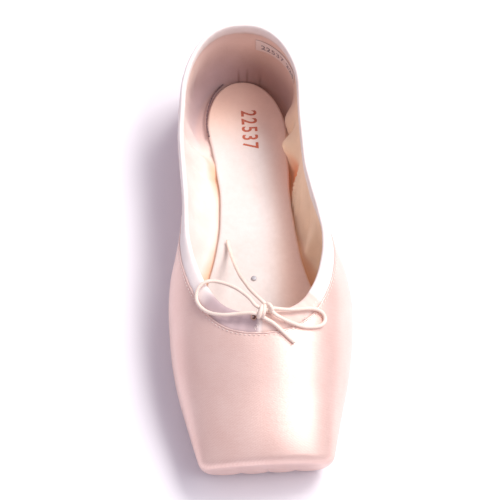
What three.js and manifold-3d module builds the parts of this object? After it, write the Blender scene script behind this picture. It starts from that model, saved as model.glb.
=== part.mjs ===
// A satin pointe shoe for either foot, standing empty on its sole.
// Millimetres, +Z up, platform (toe) at -Y, heel at +Y, floor at z = 0.
// "fromToe" is the distance from the platform towards the heel, before the toe's
// overhang and the heel's lean move a point a little along the shoe.

import * as THREE from 'three';
import { mergeVertices } from 'three/addons/utils/BufferGeometryUtils.js';
import Module from 'manifold-3d';

const wasm = await Module();
wasm.setup();

// ---------------------------------------------------------------- driving sizes

const LENGTH = 232; // platform to back of heel
const CENTRE_X = 1.9; // middle of the shoe's box, measured from its long axis
const CENTRE_FROM_TOE = 113.97; // middle of the shoe's box, measured from the platform
const GAP = 0.3; // clearance between neighbouring pieces

const OUTSOLE_THICKNESS = 2.4;
const OUTSOLE_BEVEL_WIDTH = 1.6;
const OUTSOLE_BEVEL_HEIGHT = 1.1;
const INSOLE_THICKNESS = 2.8;
const MARGIN_THICKNESS = 2.2; // the upper's edge turned in under the foot
const PLATFORM_WALL = 4.0;
const CASING_PROUD = 0.45; // the drawstring casing is thicker than the wall by this, each side
const INSOLE_EDGE = 0.6; // bevel of the insole's upper edge
const SOLE_INSET_SHARE = 0.6; // the wall takes this share of itself from the flat underside

const SPRING_START = 52; // fromToe where the sole leaves the floor towards the toe
const SPRING_RISE = 0.5; // rise of the sole at its tip
const SPRING_POWER = 1.4;
const ARCH_START = 82;
const ARCH_END = 187;
const ARCH_RISE = 2.5;

const TOE_EDGE_RADIUS = 3.5; // rounding of the platform's edge
const TOE_EDGE_RADIUS_INSIDE = 3;
const TOE_OVERHANG = 0.2; // the platform slopes forward from its lower edge to its upper one
const TOE_OVERHANG_BASE = 3; // height at which that slope starts
const TOE_OVERHANG_END = 28; // fromToe where it has died out
const HEEL_ROUNDING = 38; // length of the heel's round end
const HEEL_POWER = 2.1;
const HEEL_BELLY = 24; // height of the heel's backmost point
const HEEL_LEAN_TOP = 6.6; // the topline leans in over the heel
const HEEL_LEAN_BOTTOM = 3; // the heel's lower edge tucks in
const HEEL_LEAN_HEIGHT = 34; // from the backmost point up to the topline
const HEEL_LEAN_START = 150;
const HEEL_LEAN_FULL = 205;
const HEEL_LEAN_POWER = 1.6;

const DOME_POWER = 2.2; // roundness of the top of a cross-section

// ---------------------------------------------------------------- tables of sections

// Cross-sections of the outside of the upper. middle and half place its widest line,
// at the height belly; soleMiddle and soleHalf place its flat underside; crown is the
// height at which the section closes, above the opening where there is one; flare is
// the roundness of the lower wall, 2 for a round one and less for a leaning one.
const LAST_COLUMNS = [
  'fromToe', 'middle', 'half', 'soleMiddle', 'soleHalf', 'belly', 'crown', 'flare',
];
const LAST_ROWS = [
  [0, 0.3, 30.0, 0.0, 23.0, 17.0, 26.5, 2.2],
  [12, 0.3, 33.4, 0.2, 26.5, 17.6, 33.4, 2.2],
  [24, 0.4, 36.8, 0.6, 29.5, 18.0, 39.2, 2.2],
  [36, 0.7, 39.8, 1.2, 32.0, 18.5, 44.4, 2.2],
  [49, 1.1, 42.1, 1.8, 33.6, 18.5, 49.5, 2.2],
  [62, 1.6, 43.5, 2.3, 34.2, 19.0, 52.7, 2.2],
  [76, 1.9, 44.1, 2.7, 33.6, 20.0, 54.6, 2.1],
  [90, 1.7, 42.9, 3.0, 31.2, 21.5, 56.4, 2.0],
  [102, 1.3, 39.8, 3.2, 27.6, 24.0, 59.0, 1.8],
  [116, 0.5, 35.4, 3.4, 23.6, 29.0, 66.0, 1.6],
  [134, -0.7, 32.5, 3.5, 20.4, 32.0, 80.0, 1.5],
  [152, -2.0, 31.9, 3.5, 19.6, 32.0, 90.0, 1.5],
  [170, -2.4, 32.0, 3.1, 21.0, 30.0, 95.0, 1.6],
  [186, -1.8, 31.7, 2.4, 23.2, 26.0, 99.0, 1.8],
  [202, -0.8, 31.2, 1.4, 24.6, 24.0, 101.0, 2.0],
  [232, 0.0, 31.0, 0.0, 25.0, 24.0, 102.0, 2.0],
].map((row) => Object.fromEntries(row.map((value, i) => [LAST_COLUMNS[i], value])));

// Thickness of the upper: canvas and paste at the toe box, satin and lining at the heel.
const WALL_ROWS = [
  { fromToe: 0, wall: 3.4 },
  { fromToe: 40, wall: 3.2 },
  { fromToe: 75, wall: 2.6 },
  { fromToe: 115, wall: 2.2 },
  { fromToe: 232, wall: 2.2 },
];

// Half widths of the leather outsole, before its round ends.
const OUTSOLE_ROWS = [
  { fromToe: 24, middle: 0.6, half: 20.0 },
  { fromToe: 44, middle: 1.6, half: 23.6 },
  { fromToe: 64, middle: 2.4, half: 25.6 },
  { fromToe: 82, middle: 2.9, half: 24.4 },
  { fromToe: 100, middle: 3.2, half: 19.6 },
  { fromToe: 120, middle: 3.4, half: 14.2 },
  { fromToe: 144, middle: 3.5, half: 11.8 },
  { fromToe: 166, middle: 3.2, half: 13.4 },
  { fromToe: 186, middle: 2.4, half: 17.6 },
  { fromToe: 202, middle: 1.4, half: 19.6 },
  { fromToe: 224, middle: 0.2, half: 19.4 },
];
const OUTSOLE_TIP = 24;
const OUTSOLE_BACK = 224;
const OUTSOLE_TIP_ROUNDING = 17;
const OUTSOLE_BACK_ROUNDING = 20;
const OUTSOLE_END_POWER = 2.1;
const OUTSOLE_COVER = 4; // how far the outsole laps over the hole in the upper's underside
const HOLE_REACH = 14; // the hole's cutter runs this far below and above the floor

const SOLE_STEP = 7; // spacing of the sections of the outsole and the insole
const INSOLE_TIP = 14;
const INSOLE_TIP_ROUNDING = 18;

// The open edge of the shoe, from the middle of the throat to the middle of the heel.
const OPENING_ROWS = [
  { fromToe: 58.0, half: 0.0, height: 52.4 },
  { fromToe: 58.5, half: 6.5, height: 52.1 },
  { fromToe: 60.6, half: 13.4, height: 51.4 },
  { fromToe: 64.7, half: 19.0, height: 50.5 },
  { fromToe: 71.5, half: 23.8, height: 49.7 },
  { fromToe: 79.0, half: 27.5, height: 48.8 },
  { fromToe: 88.0, half: 30.2, height: 47.5 },
  { fromToe: 99.0, half: 31.9, height: 45.7 },
  { fromToe: 112.0, half: 33.0, height: 43.5 },
  { fromToe: 128.0, half: 32.3, height: 41.9 },
  { fromToe: 144.0, half: 31.7, height: 41.4 },
  { fromToe: 160.0, half: 31.6, height: 42.4 },
  { fromToe: 176.0, half: 31.2, height: 45.2 },
  { fromToe: 190.0, half: 30.0, height: 49.2 },
  { fromToe: 202.0, half: 27.2, height: 53.0 },
  { fromToe: 212.0, half: 22.0, height: 56.0 },
  { fromToe: 219.0, half: 14.6, height: 57.8 },
  { fromToe: 223.6, half: 6.5, height: 58.7 },
  { fromToe: 225.0, half: 0.0, height: 59.0 },
];

// The edge of the satin, where the drawstring casing takes over, in the same order.
const SATIN_EDGE_ROWS = [
  { fromToe: 49.0, half: 0.0, height: 49.5 },
  { fromToe: 49.8, half: 8.5, height: 49.4 },
  { fromToe: 52.6, half: 16.4, height: 48.9 },
  { fromToe: 58.5, half: 23.4, height: 48.0 },
  { fromToe: 66.0, half: 28.2, height: 46.8 },
  { fromToe: 75.0, half: 32.0, height: 45.2 },
  { fromToe: 86.0, half: 35.0, height: 43.2 },
  { fromToe: 98.0, half: 36.2, height: 40.4 },
  { fromToe: 112.0, half: 35.4, height: 36.6 },
  { fromToe: 128.0, half: 33.0, height: 33.6 },
  { fromToe: 144.0, half: 32.0, height: 32.6 },
  { fromToe: 160.0, half: 31.9, height: 33.5 },
  { fromToe: 176.0, half: 31.8, height: 36.2 },
  { fromToe: 190.0, half: 30.9, height: 40.2 },
  { fromToe: 203.0, half: 28.0, height: 44.2 },
  { fromToe: 214.0, half: 22.4, height: 47.2 },
  { fromToe: 222.0, half: 14.8, height: 48.9 },
  { fromToe: 226.8, half: 6.5, height: 49.7 },
  { fromToe: 228.2, half: 0.0, height: 50.0 },
];

// ---------------------------------------------------------------- drawstring bow and tack

const TACK_ACROSS = 0.2;
const TACK_FROM_TOE = 101.9;
const TACK_RADIUS = 1.3;
const TACK_RIM = 0.25;
const TACK_DOME = 0.5;

const CORD_DIAMETER = 1.7;
const CORD_SIDES = 8;
const CORD_STEP = 2.6;
const TACK_RING = 20;
const KNOT = { x: -0.6, y: -56.9, z: 54.9 };
const KNOT_HALF = { x: 3.3, y: 2.8, z: 2.3 };

// Where each free strand of the elastic drawstring runs, from the knot outwards, in the
// shoe's own millimetres. The loops lie on the casing and the satin beside the throat,
// one end lies on the vamp, and the other reaches down to the insole.
const BOW_ROUTES = {
  bow_loop_left: [
    [-3.4, -54.1, 55.6], [-5.6, -50.3, 54.9], [-8.2, -46.7, 53.8], [-11.0, -43.5, 52.7],
    [-14.2, -40.9, 51.8], [-18.0, -38.7, 51.1], [-21.8, -37.6, 51.0], [-25.4, -37.9, 51.1],
    [-28.2, -39.6, 50.5], [-29.9, -42.2, 49.2], [-30.0, -45.7, 48.0], [-28.0, -49.9, 48.4],
    [-24.2, -53.7, 50.0], [-18.2, -56.1, 51.9], [-11.6, -56.7, 53.3], [-5.2, -57.3, 54.5],
  ],
  bow_loop_right: [
    [3.4, -55.2, 55.2], [6.4, -55.6, 54.4], [10.0, -55.9, 53.8], [14.0, -55.7, 53.1],
    [18.0, -55.0, 52.1], [21.8, -54.3, 50.8], [25.4, -54.2, 48.8], [27.8, -55.7, 46.9],
    [28.2, -58.1, 46.1], [26.6, -60.5, 46.3], [23.4, -62.0, 47.4], [18.0, -62.7, 49.3],
    [13.0, -61.7, 51.2], [8.6, -59.9, 52.9], [4.8, -58.3, 54.2],
  ],
  bow_tail_inner: [
    [1.4, -53.2, 55.6], [-0.8, -50.9, 55.1], [-2.6, -48.6, 54.2], [-4.1, -45.3, 52.2],
    [-5.4, -41.9, 49.6], [-6.6, -37.5, 46.0], [-7.8, -32.7, 41.8], [-8.9, -26.9, 36.0],
    [-9.9, -20.7, 30.4], [-10.8, -14.7, 25.2], [-11.6, -8.9, 20.6], [-12.4, -3.1, 16.6],
    [-13.0, 1.9, 13.6], [-13.5, 5.7, 12.0], [-13.8, 8.3, 11.6],
  ],
  bow_tail_outer: [
    [1.4, -60.3, 53.2], [3.3, -61.3, 52.7], [5.5, -62.9, 51.8], [7.6, -64.7, 50.7],
    [9.7, -66.6, 49.5], [11.4, -68.2, 48.7], [12.9, -69.6, 48.1],
  ],
};

// ---------------------------------------------------------------- curves through the tables

// A smooth curve through the rows that never overshoots between two of them: cubic
// pieces whose slope at a row is the harmonic mean of the slopes on its two sides.
function smoothColumn(rows, column) {
  const at = rows.map((row) => row.fromToe);
  const value = rows.map((row) => row[column]);
  const last = rows.length - 1;
  const slope = (i) => (value[i + 1] - value[i]) / (at[i + 1] - at[i]);
  const tangent = rows.map((row, i) => {
    if (i === 0) return slope(0);
    if (i === last) return slope(last - 1);
    const before = slope(i - 1);
    const after = slope(i);
    return before * after > 0 ? (2 * before * after) / (before + after) : 0;
  });
  return (fromToe) => {
    const x = THREE.MathUtils.clamp(fromToe, at[0], at[last]);
    const next = at.findIndex((edge, i) => i > 0 && x <= edge);
    const i = next - 1;
    const span = at[next] - at[i];
    const t = (x - at[i]) / span;
    const rise = value[next] - value[i];
    const bendIn = tangent[i] * span - rise;
    const bendOut = rise - tangent[next] * span;
    return value[i] + rise * t + t * (1 - t) * ((1 - t) * bendIn + t * bendOut);
  };
}

const lastColumns = {};
for (const column of LAST_COLUMNS.slice(1)) {
  lastColumns[column] = smoothColumn(LAST_ROWS, column);
}
const wallAt = smoothColumn(WALL_ROWS, 'wall');
const outsoleMiddleAt = smoothColumn(OUTSOLE_ROWS, 'middle');
const outsoleHalfAt = smoothColumn(OUTSOLE_ROWS, 'half');

// How far the sole's underside is above the floor: flat at the heel and the forefoot,
// raised by the toe spring in front and by the arch between them.
function liftAt(fromToe) {
  if (fromToe < SPRING_START) {
    const reach = (SPRING_START - fromToe) / (SPRING_START - OUTSOLE_TIP);
    return SPRING_RISE * reach ** SPRING_POWER;
  }
  if (fromToe > ARCH_START && fromToe < ARCH_END) {
    const along = (fromToe - ARCH_START) / (ARCH_END - ARCH_START);
    return ARCH_RISE * Math.sin(Math.PI * along) ** 2;
  }
  return 0;
}

// Half width of a round end: a superellipse that starts full and closes at its tip.
function roundEnd(depth, length, power) {
  const into = THREE.MathUtils.clamp(depth / length, 0, 1);
  return (1 - into ** power) ** (1 / power);
}

// The point of the shoe for a station along it, a sideways place and a height.
function place(fromToe, across, height) {
  const toeShare = 1 - THREE.MathUtils.smoothstep(fromToe, 0, TOE_OVERHANG_END);
  const overhang = TOE_OVERHANG * (height - TOE_OVERHANG_BASE);
  const heelShare = THREE.MathUtils.smoothstep(fromToe, HEEL_LEAN_START, HEEL_LEAN_FULL);
  const above = (height - HEEL_BELLY) / HEEL_LEAN_HEIGHT;
  const below = (HEEL_BELLY - height) / HEEL_BELLY;
  const lean = above > 0 ? HEEL_LEAN_TOP * above ** HEEL_LEAN_POWER : HEEL_LEAN_BOTTOM * below ** 2;
  const along = fromToe - toeShare * overhang - heelShare * lean;
  return new THREE.Vector3(across - CENTRE_X, along - CENTRE_FROM_TOE, height);
}

// ---------------------------------------------------------------- meshes and solids

// A closed surface through rings of points, each end closed by a fan to its middle.
function loft(rings) {
  const positions = [];
  const index = [];
  const size = rings[0].length;
  for (const ring of rings) {
    for (const point of ring) positions.push(point.x, point.y, point.z);
  }
  for (let r = 0; r + 1 < rings.length; r += 1) {
    for (let k = 0; k < size; k += 1) {
      const a = r * size + k;
      const b = r * size + ((k + 1) % size);
      index.push(a, a + size, b, b, a + size, b + size);
    }
  }
  for (const [start, flip] of [[0, false], [(rings.length - 1) * size, true]]) {
    const middle = new THREE.Vector3();
    for (const point of rings[start / size]) middle.addScaledVector(point, 1 / size);
    const hub = positions.length / 3;
    positions.push(middle.x, middle.y, middle.z);
    for (let k = 0; k < size; k += 1) {
      const a = start + k;
      const b = start + ((k + 1) % size);
      if (flip) index.push(hub, b, a);
      else index.push(hub, a, b);
    }
  }
  const geometry = new THREE.BufferGeometry();
  geometry.setAttribute('position', new THREE.Float32BufferAttribute(positions, 3));
  geometry.setIndex(index);
  return geometry;
}

// A closed surface through rings of points whose last ring is folded onto a line, so
// that it needs no end.
function foldedLoft(rings) {
  const geometry = loft(rings);
  const index = Array.from(geometry.index.array);
  geometry.setIndex(index.slice(0, index.length - rings[0].length * 3));
  return geometry;
}

// A solid from a closed geometry, its shared corners merged and its slivers dropped.
function solidOf(geometry) {
  const bare = geometry.clone();
  bare.deleteAttribute('normal');
  bare.deleteAttribute('uv');
  const merged = mergeVertices(bare, 1e-4);
  const corners = merged.index.array;
  const triangles = [];
  for (let i = 0; i < corners.length; i += 3) {
    const [a, b, c] = [corners[i], corners[i + 1], corners[i + 2]];
    if (a !== b && b !== c && c !== a) triangles.push(a, b, c);
  }
  const mesh = new wasm.Mesh({
    numProp: 3,
    vertProperties: new Float32Array(merged.attributes.position.array),
    triVerts: new Uint32Array(triangles),
  });
  return new wasm.Manifold(mesh);
}

function geometryOf(solid) {
  const mesh = solid.getMesh();
  const geometry = new THREE.BufferGeometry();
  geometry.setAttribute('position', new THREE.Float32BufferAttribute(mesh.vertProperties, 3));
  geometry.setIndex(new THREE.Uint32BufferAttribute(mesh.triVerts, 1));
  geometry.computeVertexNormals();
  return geometry;
}

// ---------------------------------------------------------------- the last

const FLOOR_POINTS = [-1, -0.5, 0, 0.5, 1];
const CORNER_STEPS = 5;
const DOME_STEPS = 9;

// One cross-section of the shoe's form, drawn in from the outside of the upper by
// inset at the sides and top, and raised by rise at its underside.
function sectionRing(fromToe, inset, rise, endScale) {
  const at = (column) => lastColumns[column](fromToe);
  const base = liftAt(fromToe) + OUTSOLE_THICKNESS + GAP + rise;
  const belly = Math.max(at('belly'), base + 2);
  const crown = at('crown') - inset;
  const half = (at('half') - inset) * endScale;
  const soleHalf = (at('soleHalf') - inset * SOLE_INSET_SHARE) * endScale;
  const shape = 2 / at('flare');
  const dome = 2 / DOME_POWER;
  const ring = FLOOR_POINTS.map((share) => [at('soleMiddle') + share * soleHalf, base]);
  const wall = (side) => {
    const points = [];
    const start = at('soleMiddle') + side * soleHalf;
    const end = at('middle') + side * half;
    for (let j = 1; j <= CORNER_STEPS; j += 1) {
      const angle = (Math.PI / 2) * (j / CORNER_STEPS);
      const out = Math.sin(angle) ** shape;
      const up = 1 - Math.max(Math.cos(angle), 0) ** shape;
      points.push([start + (end - start) * out, base + (belly - base) * up]);
    }
    for (let j = 1; j < DOME_STEPS; j += 1) {
      const angle = (Math.PI / 2) * (j / DOME_STEPS);
      const across = at('middle') + side * half * Math.cos(angle) ** dome;
      points.push([across, belly + (crown - belly) * Math.sin(angle) ** dome]);
    }
    return points;
  };
  ring.push(...wall(1), [at('middle'), crown], ...wall(-1).reverse());
  return ring.map(([across, height]) => place(fromToe, across, height));
}

const BODY_STEP = 8; // spacing of the sections along the shoe
const END_SECTIONS = 5; // sections that round the platform's edge
const HEEL_SECTIONS = 10; // sections that round the heel, the last of them a line

// The closed form of the shoe inside the given walls: wall at the sides, front at the
// platform, rise under the foot. Its toe edge is rounded by drawing the last sections in.
function footForm({ wall, front, rise, edgeRadius }) {
  const rings = [];
  for (let j = 0; j <= END_SECTIONS; j += 1) {
    const angle = (Math.PI / 2) * (j / END_SECTIONS);
    const depth = edgeRadius * (1 - Math.cos(angle));
    const drawnIn = edgeRadius * (1 - Math.sin(angle));
    const fromToe = front + depth;
    rings.push(sectionRing(fromToe, wall(fromToe) + drawnIn, rise + drawnIn, 1));
  }
  const heelStart = LENGTH - HEEL_ROUNDING;
  const bodyStart = front + edgeRadius;
  const bodySections = Math.round((heelStart - bodyStart) / BODY_STEP);
  for (let j = 1; j < bodySections; j += 1) {
    const fromToe = bodyStart + (heelStart - bodyStart) * (j / bodySections);
    rings.push(sectionRing(fromToe, wall(fromToe), rise, 1));
  }
  const heelLength = HEEL_ROUNDING - wall(LENGTH);
  for (let j = 0; j <= HEEL_SECTIONS; j += 1) {
    const depth = heelLength * Math.sin((Math.PI / 2) * (j / HEEL_SECTIONS));
    const scale = roundEnd(depth, heelLength, HEEL_POWER);
    const fromToe = heelStart + depth;
    rings.push(sectionRing(fromToe, wall(fromToe), rise, scale));
  }
  return solidOf(foldedLoft(rings));
}

// ---------------------------------------------------------------- cutting tools

const EDGE_SAMPLES = 34;
const SPINE_FRONT = 67; // the rays of a cut start from a line inside the shoe
const SPINE_BACK = 195;
const SPINE_DROP = 17; // depth of that line under the edge
const RAY_STOPS = [2.2, 1.1, 0.88, 0]; // places along a ray, 1 being the edge
const SKY = 120;

// The space above an edge of the shoe: straight rays run from a line inside the foot
// through the edge and on outwards, so the wall is cut nearly square to its surface.
// stepIn moves the cut up and towards the opening.
function spaceAbove(rows, stepIn) {
  const edge = new THREE.CatmullRomCurve3(
    rows.map((row) => new THREE.Vector3(row.half, row.fromToe, row.height)), false, 'centripetal',
  );
  const roots = [];
  const onRight = [];
  const onLeft = [];
  for (let i = 0; i <= EDGE_SAMPLES; i += 1) {
    const point = edge.getPointAt(i / EDGE_SAMPLES);
    const half = i === 0 || i === EDGE_SAMPLES ? 0 : point.x;
    const start = THREE.MathUtils.clamp(point.y, SPINE_FRONT, SPINE_BACK);
    const middle = lastColumns.middle(point.y);
    const root = new THREE.Vector3(lastColumns.middle(start), start, point.z - SPINE_DROP);
    roots.push(root);
    for (const [list, side] of [[onRight, 1], [onLeft, -1]]) {
      const onEdge = new THREE.Vector3(middle + side * half, point.y, point.z);
      const inward = root.clone().sub(onEdge).setZ(0).normalize();
      list.push(onEdge.addScaledVector(inward, stepIn).setZ(point.z + stepIn));
    }
  }
  const around = (right, left) => [...right, ...left.slice(1, -1).reverse()];
  const axis = around(roots, roots);
  const loop = around(onRight, onLeft);
  const rings = RAY_STOPS.map((stop) => loop.map((p, i) => axis[i].clone().lerp(p, stop)));
  rings.unshift(rings[0].map((p) => new THREE.Vector3(p.x, p.y, SKY)));
  const toWorld = (p) => new THREE.Vector3(p.x - CENTRE_X, p.y - CENTRE_FROM_TOE, p.z);
  return solidOf(foldedLoft(rings.map((ring) => ring.map(toWorld))));
}

// Half width of the outsole with its round ends, drawn in by inset.
function outsoleHalfWidth(fromToe, inset) {
  const fromTip = OUTSOLE_TIP + OUTSOLE_TIP_ROUNDING - fromToe;
  const fromBack = fromToe - (OUTSOLE_BACK - OUTSOLE_BACK_ROUNDING);
  const tip = roundEnd(fromTip, OUTSOLE_TIP_ROUNDING - inset, OUTSOLE_END_POWER);
  const back = roundEnd(fromBack, OUTSOLE_BACK_ROUNDING - inset, OUTSOLE_END_POWER);
  return (outsoleHalfAt(fromToe) - inset) * Math.min(tip, back);
}

// Stations between two round ends: close together at the ends, even between them.
function stationsBetween(tip, tipRounding, back, backRounding, step) {
  const stations = [];
  const endSteps = 7;
  for (let j = 0; j <= endSteps; j += 1) {
    const angle = (Math.PI / 2) * Math.max(j / endSteps, 0.03);
    stations.push(tip + tipRounding * (1 - Math.cos(angle)));
  }
  const bodyStart = tip + tipRounding;
  const bodyEnd = back - backRounding;
  const count = Math.round((bodyEnd - bodyStart) / step);
  for (let j = 1; j < count; j += 1) stations.push(bodyStart + (bodyEnd - bodyStart) * (j / count));
  for (let j = 0; j <= endSteps; j += 1) {
    const angle = (Math.PI / 2) * Math.min(j / endSteps, 0.97);
    stations.push(bodyEnd + backRounding * Math.sin(angle));
  }
  return stations;
}

// ---------------------------------------------------------------- the pieces

const outerForm = footForm({ wall: () => 0, front: 0, rise: 0, edgeRadius: TOE_EDGE_RADIUS });
const innerForm = footForm({
  wall: wallAt, front: PLATFORM_WALL, rise: MARGIN_THICKNESS, edgeRadius: TOE_EDGE_RADIUS_INSIDE,
});

function makeUpper() {
  const stations = stationsBetween(
    OUTSOLE_TIP + OUTSOLE_COVER, OUTSOLE_TIP_ROUNDING - OUTSOLE_COVER,
    OUTSOLE_BACK - OUTSOLE_COVER, OUTSOLE_BACK_ROUNDING - OUTSOLE_COVER, SOLE_STEP * 2,
  );
  const holeRing = (height) => (fromToe) => {
    const half = outsoleHalfWidth(fromToe, OUTSOLE_COVER);
    const x = outsoleMiddleAt(fromToe) - CENTRE_X;
    const y = fromToe - CENTRE_FROM_TOE;
    return [
      new THREE.Vector3(x - half, y, -height), new THREE.Vector3(x + half, y, -height),
      new THREE.Vector3(x + half, y, height), new THREE.Vector3(x - half, y, height),
    ];
  };
  const hole = solidOf(loft(stations.map(holeRing(HOLE_REACH))));
  return outerForm.subtract(innerForm).subtract(spaceAbove(SATIN_EDGE_ROWS, 0)).subtract(hole);
}

function makeCasing() {
  const outside = footForm({
    wall: () => -CASING_PROUD, front: 0, rise: 0, edgeRadius: TOE_EDGE_RADIUS,
  });
  const inside = footForm({
    wall: (fromToe) => wallAt(fromToe) + CASING_PROUD,
    front: PLATFORM_WALL,
    rise: MARGIN_THICKNESS,
    edgeRadius: TOE_EDGE_RADIUS_INSIDE,
  });
  return outside
    .subtract(inside)
    .intersect(spaceAbove(SATIN_EDGE_ROWS, GAP))
    .subtract(spaceAbove(OPENING_ROWS, 0));
}

function makeOutsole() {
  const stations = stationsBetween(
    OUTSOLE_TIP, OUTSOLE_TIP_ROUNDING, OUTSOLE_BACK, OUTSOLE_BACK_ROUNDING, SOLE_STEP,
  );
  const rings = stations.map((fromToe) => {
    const half = outsoleHalfWidth(fromToe, 0);
    const tread = Math.max(half - OUTSOLE_BEVEL_WIDTH, half / 2);
    const low = liftAt(fromToe);
    const middle = outsoleMiddleAt(fromToe);
    const corners = [
      [-tread, low], [0, low], [tread, low],
      [half, low + OUTSOLE_BEVEL_HEIGHT], [half, low + OUTSOLE_THICKNESS],
      [0, low + OUTSOLE_THICKNESS],
      [-half, low + OUTSOLE_THICKNESS], [-half, low + OUTSOLE_BEVEL_HEIGHT],
    ];
    return corners.map(([x, z]) => new THREE.Vector3(
      middle + x - CENTRE_X, fromToe - CENTRE_FROM_TOE, z,
    ));
  });
  return solidOf(loft(rings));
}

function makeInsole() {
  const back = LENGTH - wallAt(LENGTH) - GAP;
  const backRounding = HEEL_ROUNDING - wallAt(LENGTH) - GAP;
  const stations = stationsBetween(INSOLE_TIP, INSOLE_TIP_ROUNDING, back, backRounding, SOLE_STEP);
  const rings = stations.map((fromToe) => {
    const fromTip = INSOLE_TIP + INSOLE_TIP_ROUNDING - fromToe;
    const tip = roundEnd(fromTip, INSOLE_TIP_ROUNDING, HEEL_POWER);
    const heel = roundEnd(fromToe - (back - backRounding), backRounding, HEEL_POWER);
    const full = lastColumns.soleHalf(fromToe) - wallAt(fromToe) * SOLE_INSET_SHARE - GAP;
    const half = full * Math.min(tip, heel);
    const middle = lastColumns.soleMiddle(fromToe);
    const low = liftAt(fromToe) + OUTSOLE_THICKNESS + GAP + MARGIN_THICKNESS + GAP;
    const along = place(fromToe, 0, low).y;
    const high = low + INSOLE_THICKNESS;
    const flat = Math.max(half - INSOLE_EDGE, half / 2);
    const corners = [
      [-half, low], [0, low], [half, low], [half, high - INSOLE_EDGE], [flat, high],
      [0, high], [-flat, high], [-half, high - INSOLE_EDGE],
    ];
    return corners.map(([x, z]) => new THREE.Vector3(middle + x - CENTRE_X, along, z));
  });
  return solidOf(loft(rings));
}

// The head of the tack that holds the insole down: a low dome.
function makeTack() {
  const profile = [];
  for (let j = 0; j <= 5; j += 1) {
    const angle = (Math.PI / 2) * (j / 5);
    profile.push(new THREE.Vector2(TACK_RADIUS * Math.cos(angle), TACK_RIM + TACK_DOME * Math.sin(angle)));
  }
  const dome = new THREE.LatheGeometry(
    [new THREE.Vector2(0, 0), new THREE.Vector2(TACK_RADIUS, 0), ...profile], TACK_RING,
  );
  dome.rotateX(Math.PI / 2);
  const below = OUTSOLE_THICKNESS + MARGIN_THICKNESS + INSOLE_THICKNESS + 3 * GAP;
  dome.translate(
    TACK_ACROSS - CENTRE_X, TACK_FROM_TOE - CENTRE_FROM_TOE, liftAt(TACK_FROM_TOE) + below,
  );
  return solidOf(dome);
}

// The knot of the bow, as one rounded lump.
function makeKnot() {
  const lump = new THREE.SphereGeometry(1, 16, 10);
  lump.scale(KNOT_HALF.x, KNOT_HALF.y, KNOT_HALF.z);
  lump.translate(KNOT.x, KNOT.y, KNOT.z);
  return solidOf(lump);
}

// A round elastic cord along a hand-laid route.
function makeCord(route) {
  const path = new THREE.CatmullRomCurve3(route.map((p) => new THREE.Vector3(...p)));
  const corners = [];
  for (let k = 0; k < CORD_SIDES; k += 1) {
    const angle = 2 * Math.PI * (k / CORD_SIDES);
    const radius = CORD_DIAMETER / 2;
    corners.push(new THREE.Vector2(radius * Math.cos(angle), radius * Math.sin(angle)));
  }
  const steps = Math.round(path.getLength() / CORD_STEP);
  const section = new THREE.Shape(corners);
  return solidOf(new THREE.ExtrudeGeometry(section, { steps, extrudePath: path }));
}

const shoe = new THREE.Group();

function addPiece(name, solid, colour, roughness, metalness) {
  const material = new THREE.MeshStandardMaterial({ color: colour, roughness, metalness });
  const mesh = new THREE.Mesh(geometryOf(solid), material);
  mesh.name = name;
  shoe.add(mesh);
}

addPiece('upper', makeUpper(), 0xf0cfc3, 0.35, 0);
addPiece('drawstring_casing', makeCasing(), 0xf7e9e1, 0.75, 0);
addPiece('outsole', makeOutsole(), 0xd8b48c, 0.6, 0);
addPiece('insole', makeInsole(), 0xf1e2d8, 0.9, 0);
addPiece('insole_tack', makeTack(), 0x8f9098, 0.4, 0.8);
addPiece('bow_knot', makeKnot(), 0xf3d9c8, 0.7, 0);
for (const [name, route] of Object.entries(BOW_ROUTES)) {
  addPiece(name, makeCord(route), 0xf3d9c8, 0.7, 0);
}

export default shoe;
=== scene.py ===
"""The looks of a satin pointe shoe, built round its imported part.

Shapes are worked out in the shoe's own millimetres: "across" from the middle of the
heel, "from_toe" from the platform towards the heel, and the height above the floor.
They become metres in the part's frame when they are put into a mesh.
"""

import logging
import math
from dataclasses import dataclass
from enum import Enum

import bmesh
import bpy
import numpy as np
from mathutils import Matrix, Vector
from mathutils.bvhtree import BVHTree
from numpy.typing import NDArray


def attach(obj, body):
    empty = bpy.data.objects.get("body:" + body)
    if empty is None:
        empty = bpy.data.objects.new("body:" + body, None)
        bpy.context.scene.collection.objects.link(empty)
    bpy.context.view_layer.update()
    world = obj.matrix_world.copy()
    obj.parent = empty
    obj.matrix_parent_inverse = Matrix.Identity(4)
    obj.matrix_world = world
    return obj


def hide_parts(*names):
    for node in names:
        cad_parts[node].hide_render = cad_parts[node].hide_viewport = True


Array = NDArray[np.float64]
Colour = tuple[float, float, float]
Point = tuple[float, float, float]
Material = bpy.types.Material
Object = bpy.types.Object
Socket = bpy.types.NodeSocket

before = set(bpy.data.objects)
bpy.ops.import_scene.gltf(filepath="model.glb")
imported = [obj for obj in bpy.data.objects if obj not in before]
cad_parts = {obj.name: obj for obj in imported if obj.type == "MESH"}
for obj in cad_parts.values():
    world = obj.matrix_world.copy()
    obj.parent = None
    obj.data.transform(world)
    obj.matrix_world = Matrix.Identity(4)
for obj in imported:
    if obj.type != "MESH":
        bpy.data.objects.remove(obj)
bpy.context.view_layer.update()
log = logging.getLogger("pointe_shoe")

# A millimetre in metres, and the room between two layers in millimetres.
MM = 0.001
GAP = 0.3

# Where the part's frame has its middle, across and from the toe.
CENTRE_X = 1.9
CENTRE_FROM_TOE = 113.97

# A quarter turn, a number that counts as nothing, a width that counts as closed, the
# rings of a cord's round end, and the cloth round half a cord in millimetres.
QUARTER = math.pi / 2
NOTHING = 1e-12
SLIVER = 1e-6
END_RINGS = 5
CORD_CLOTH = 3.0


class Side(Enum):
    """The two sides of the shoe."""

    LEFT = -1.0
    RIGHT = 1.0


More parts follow.
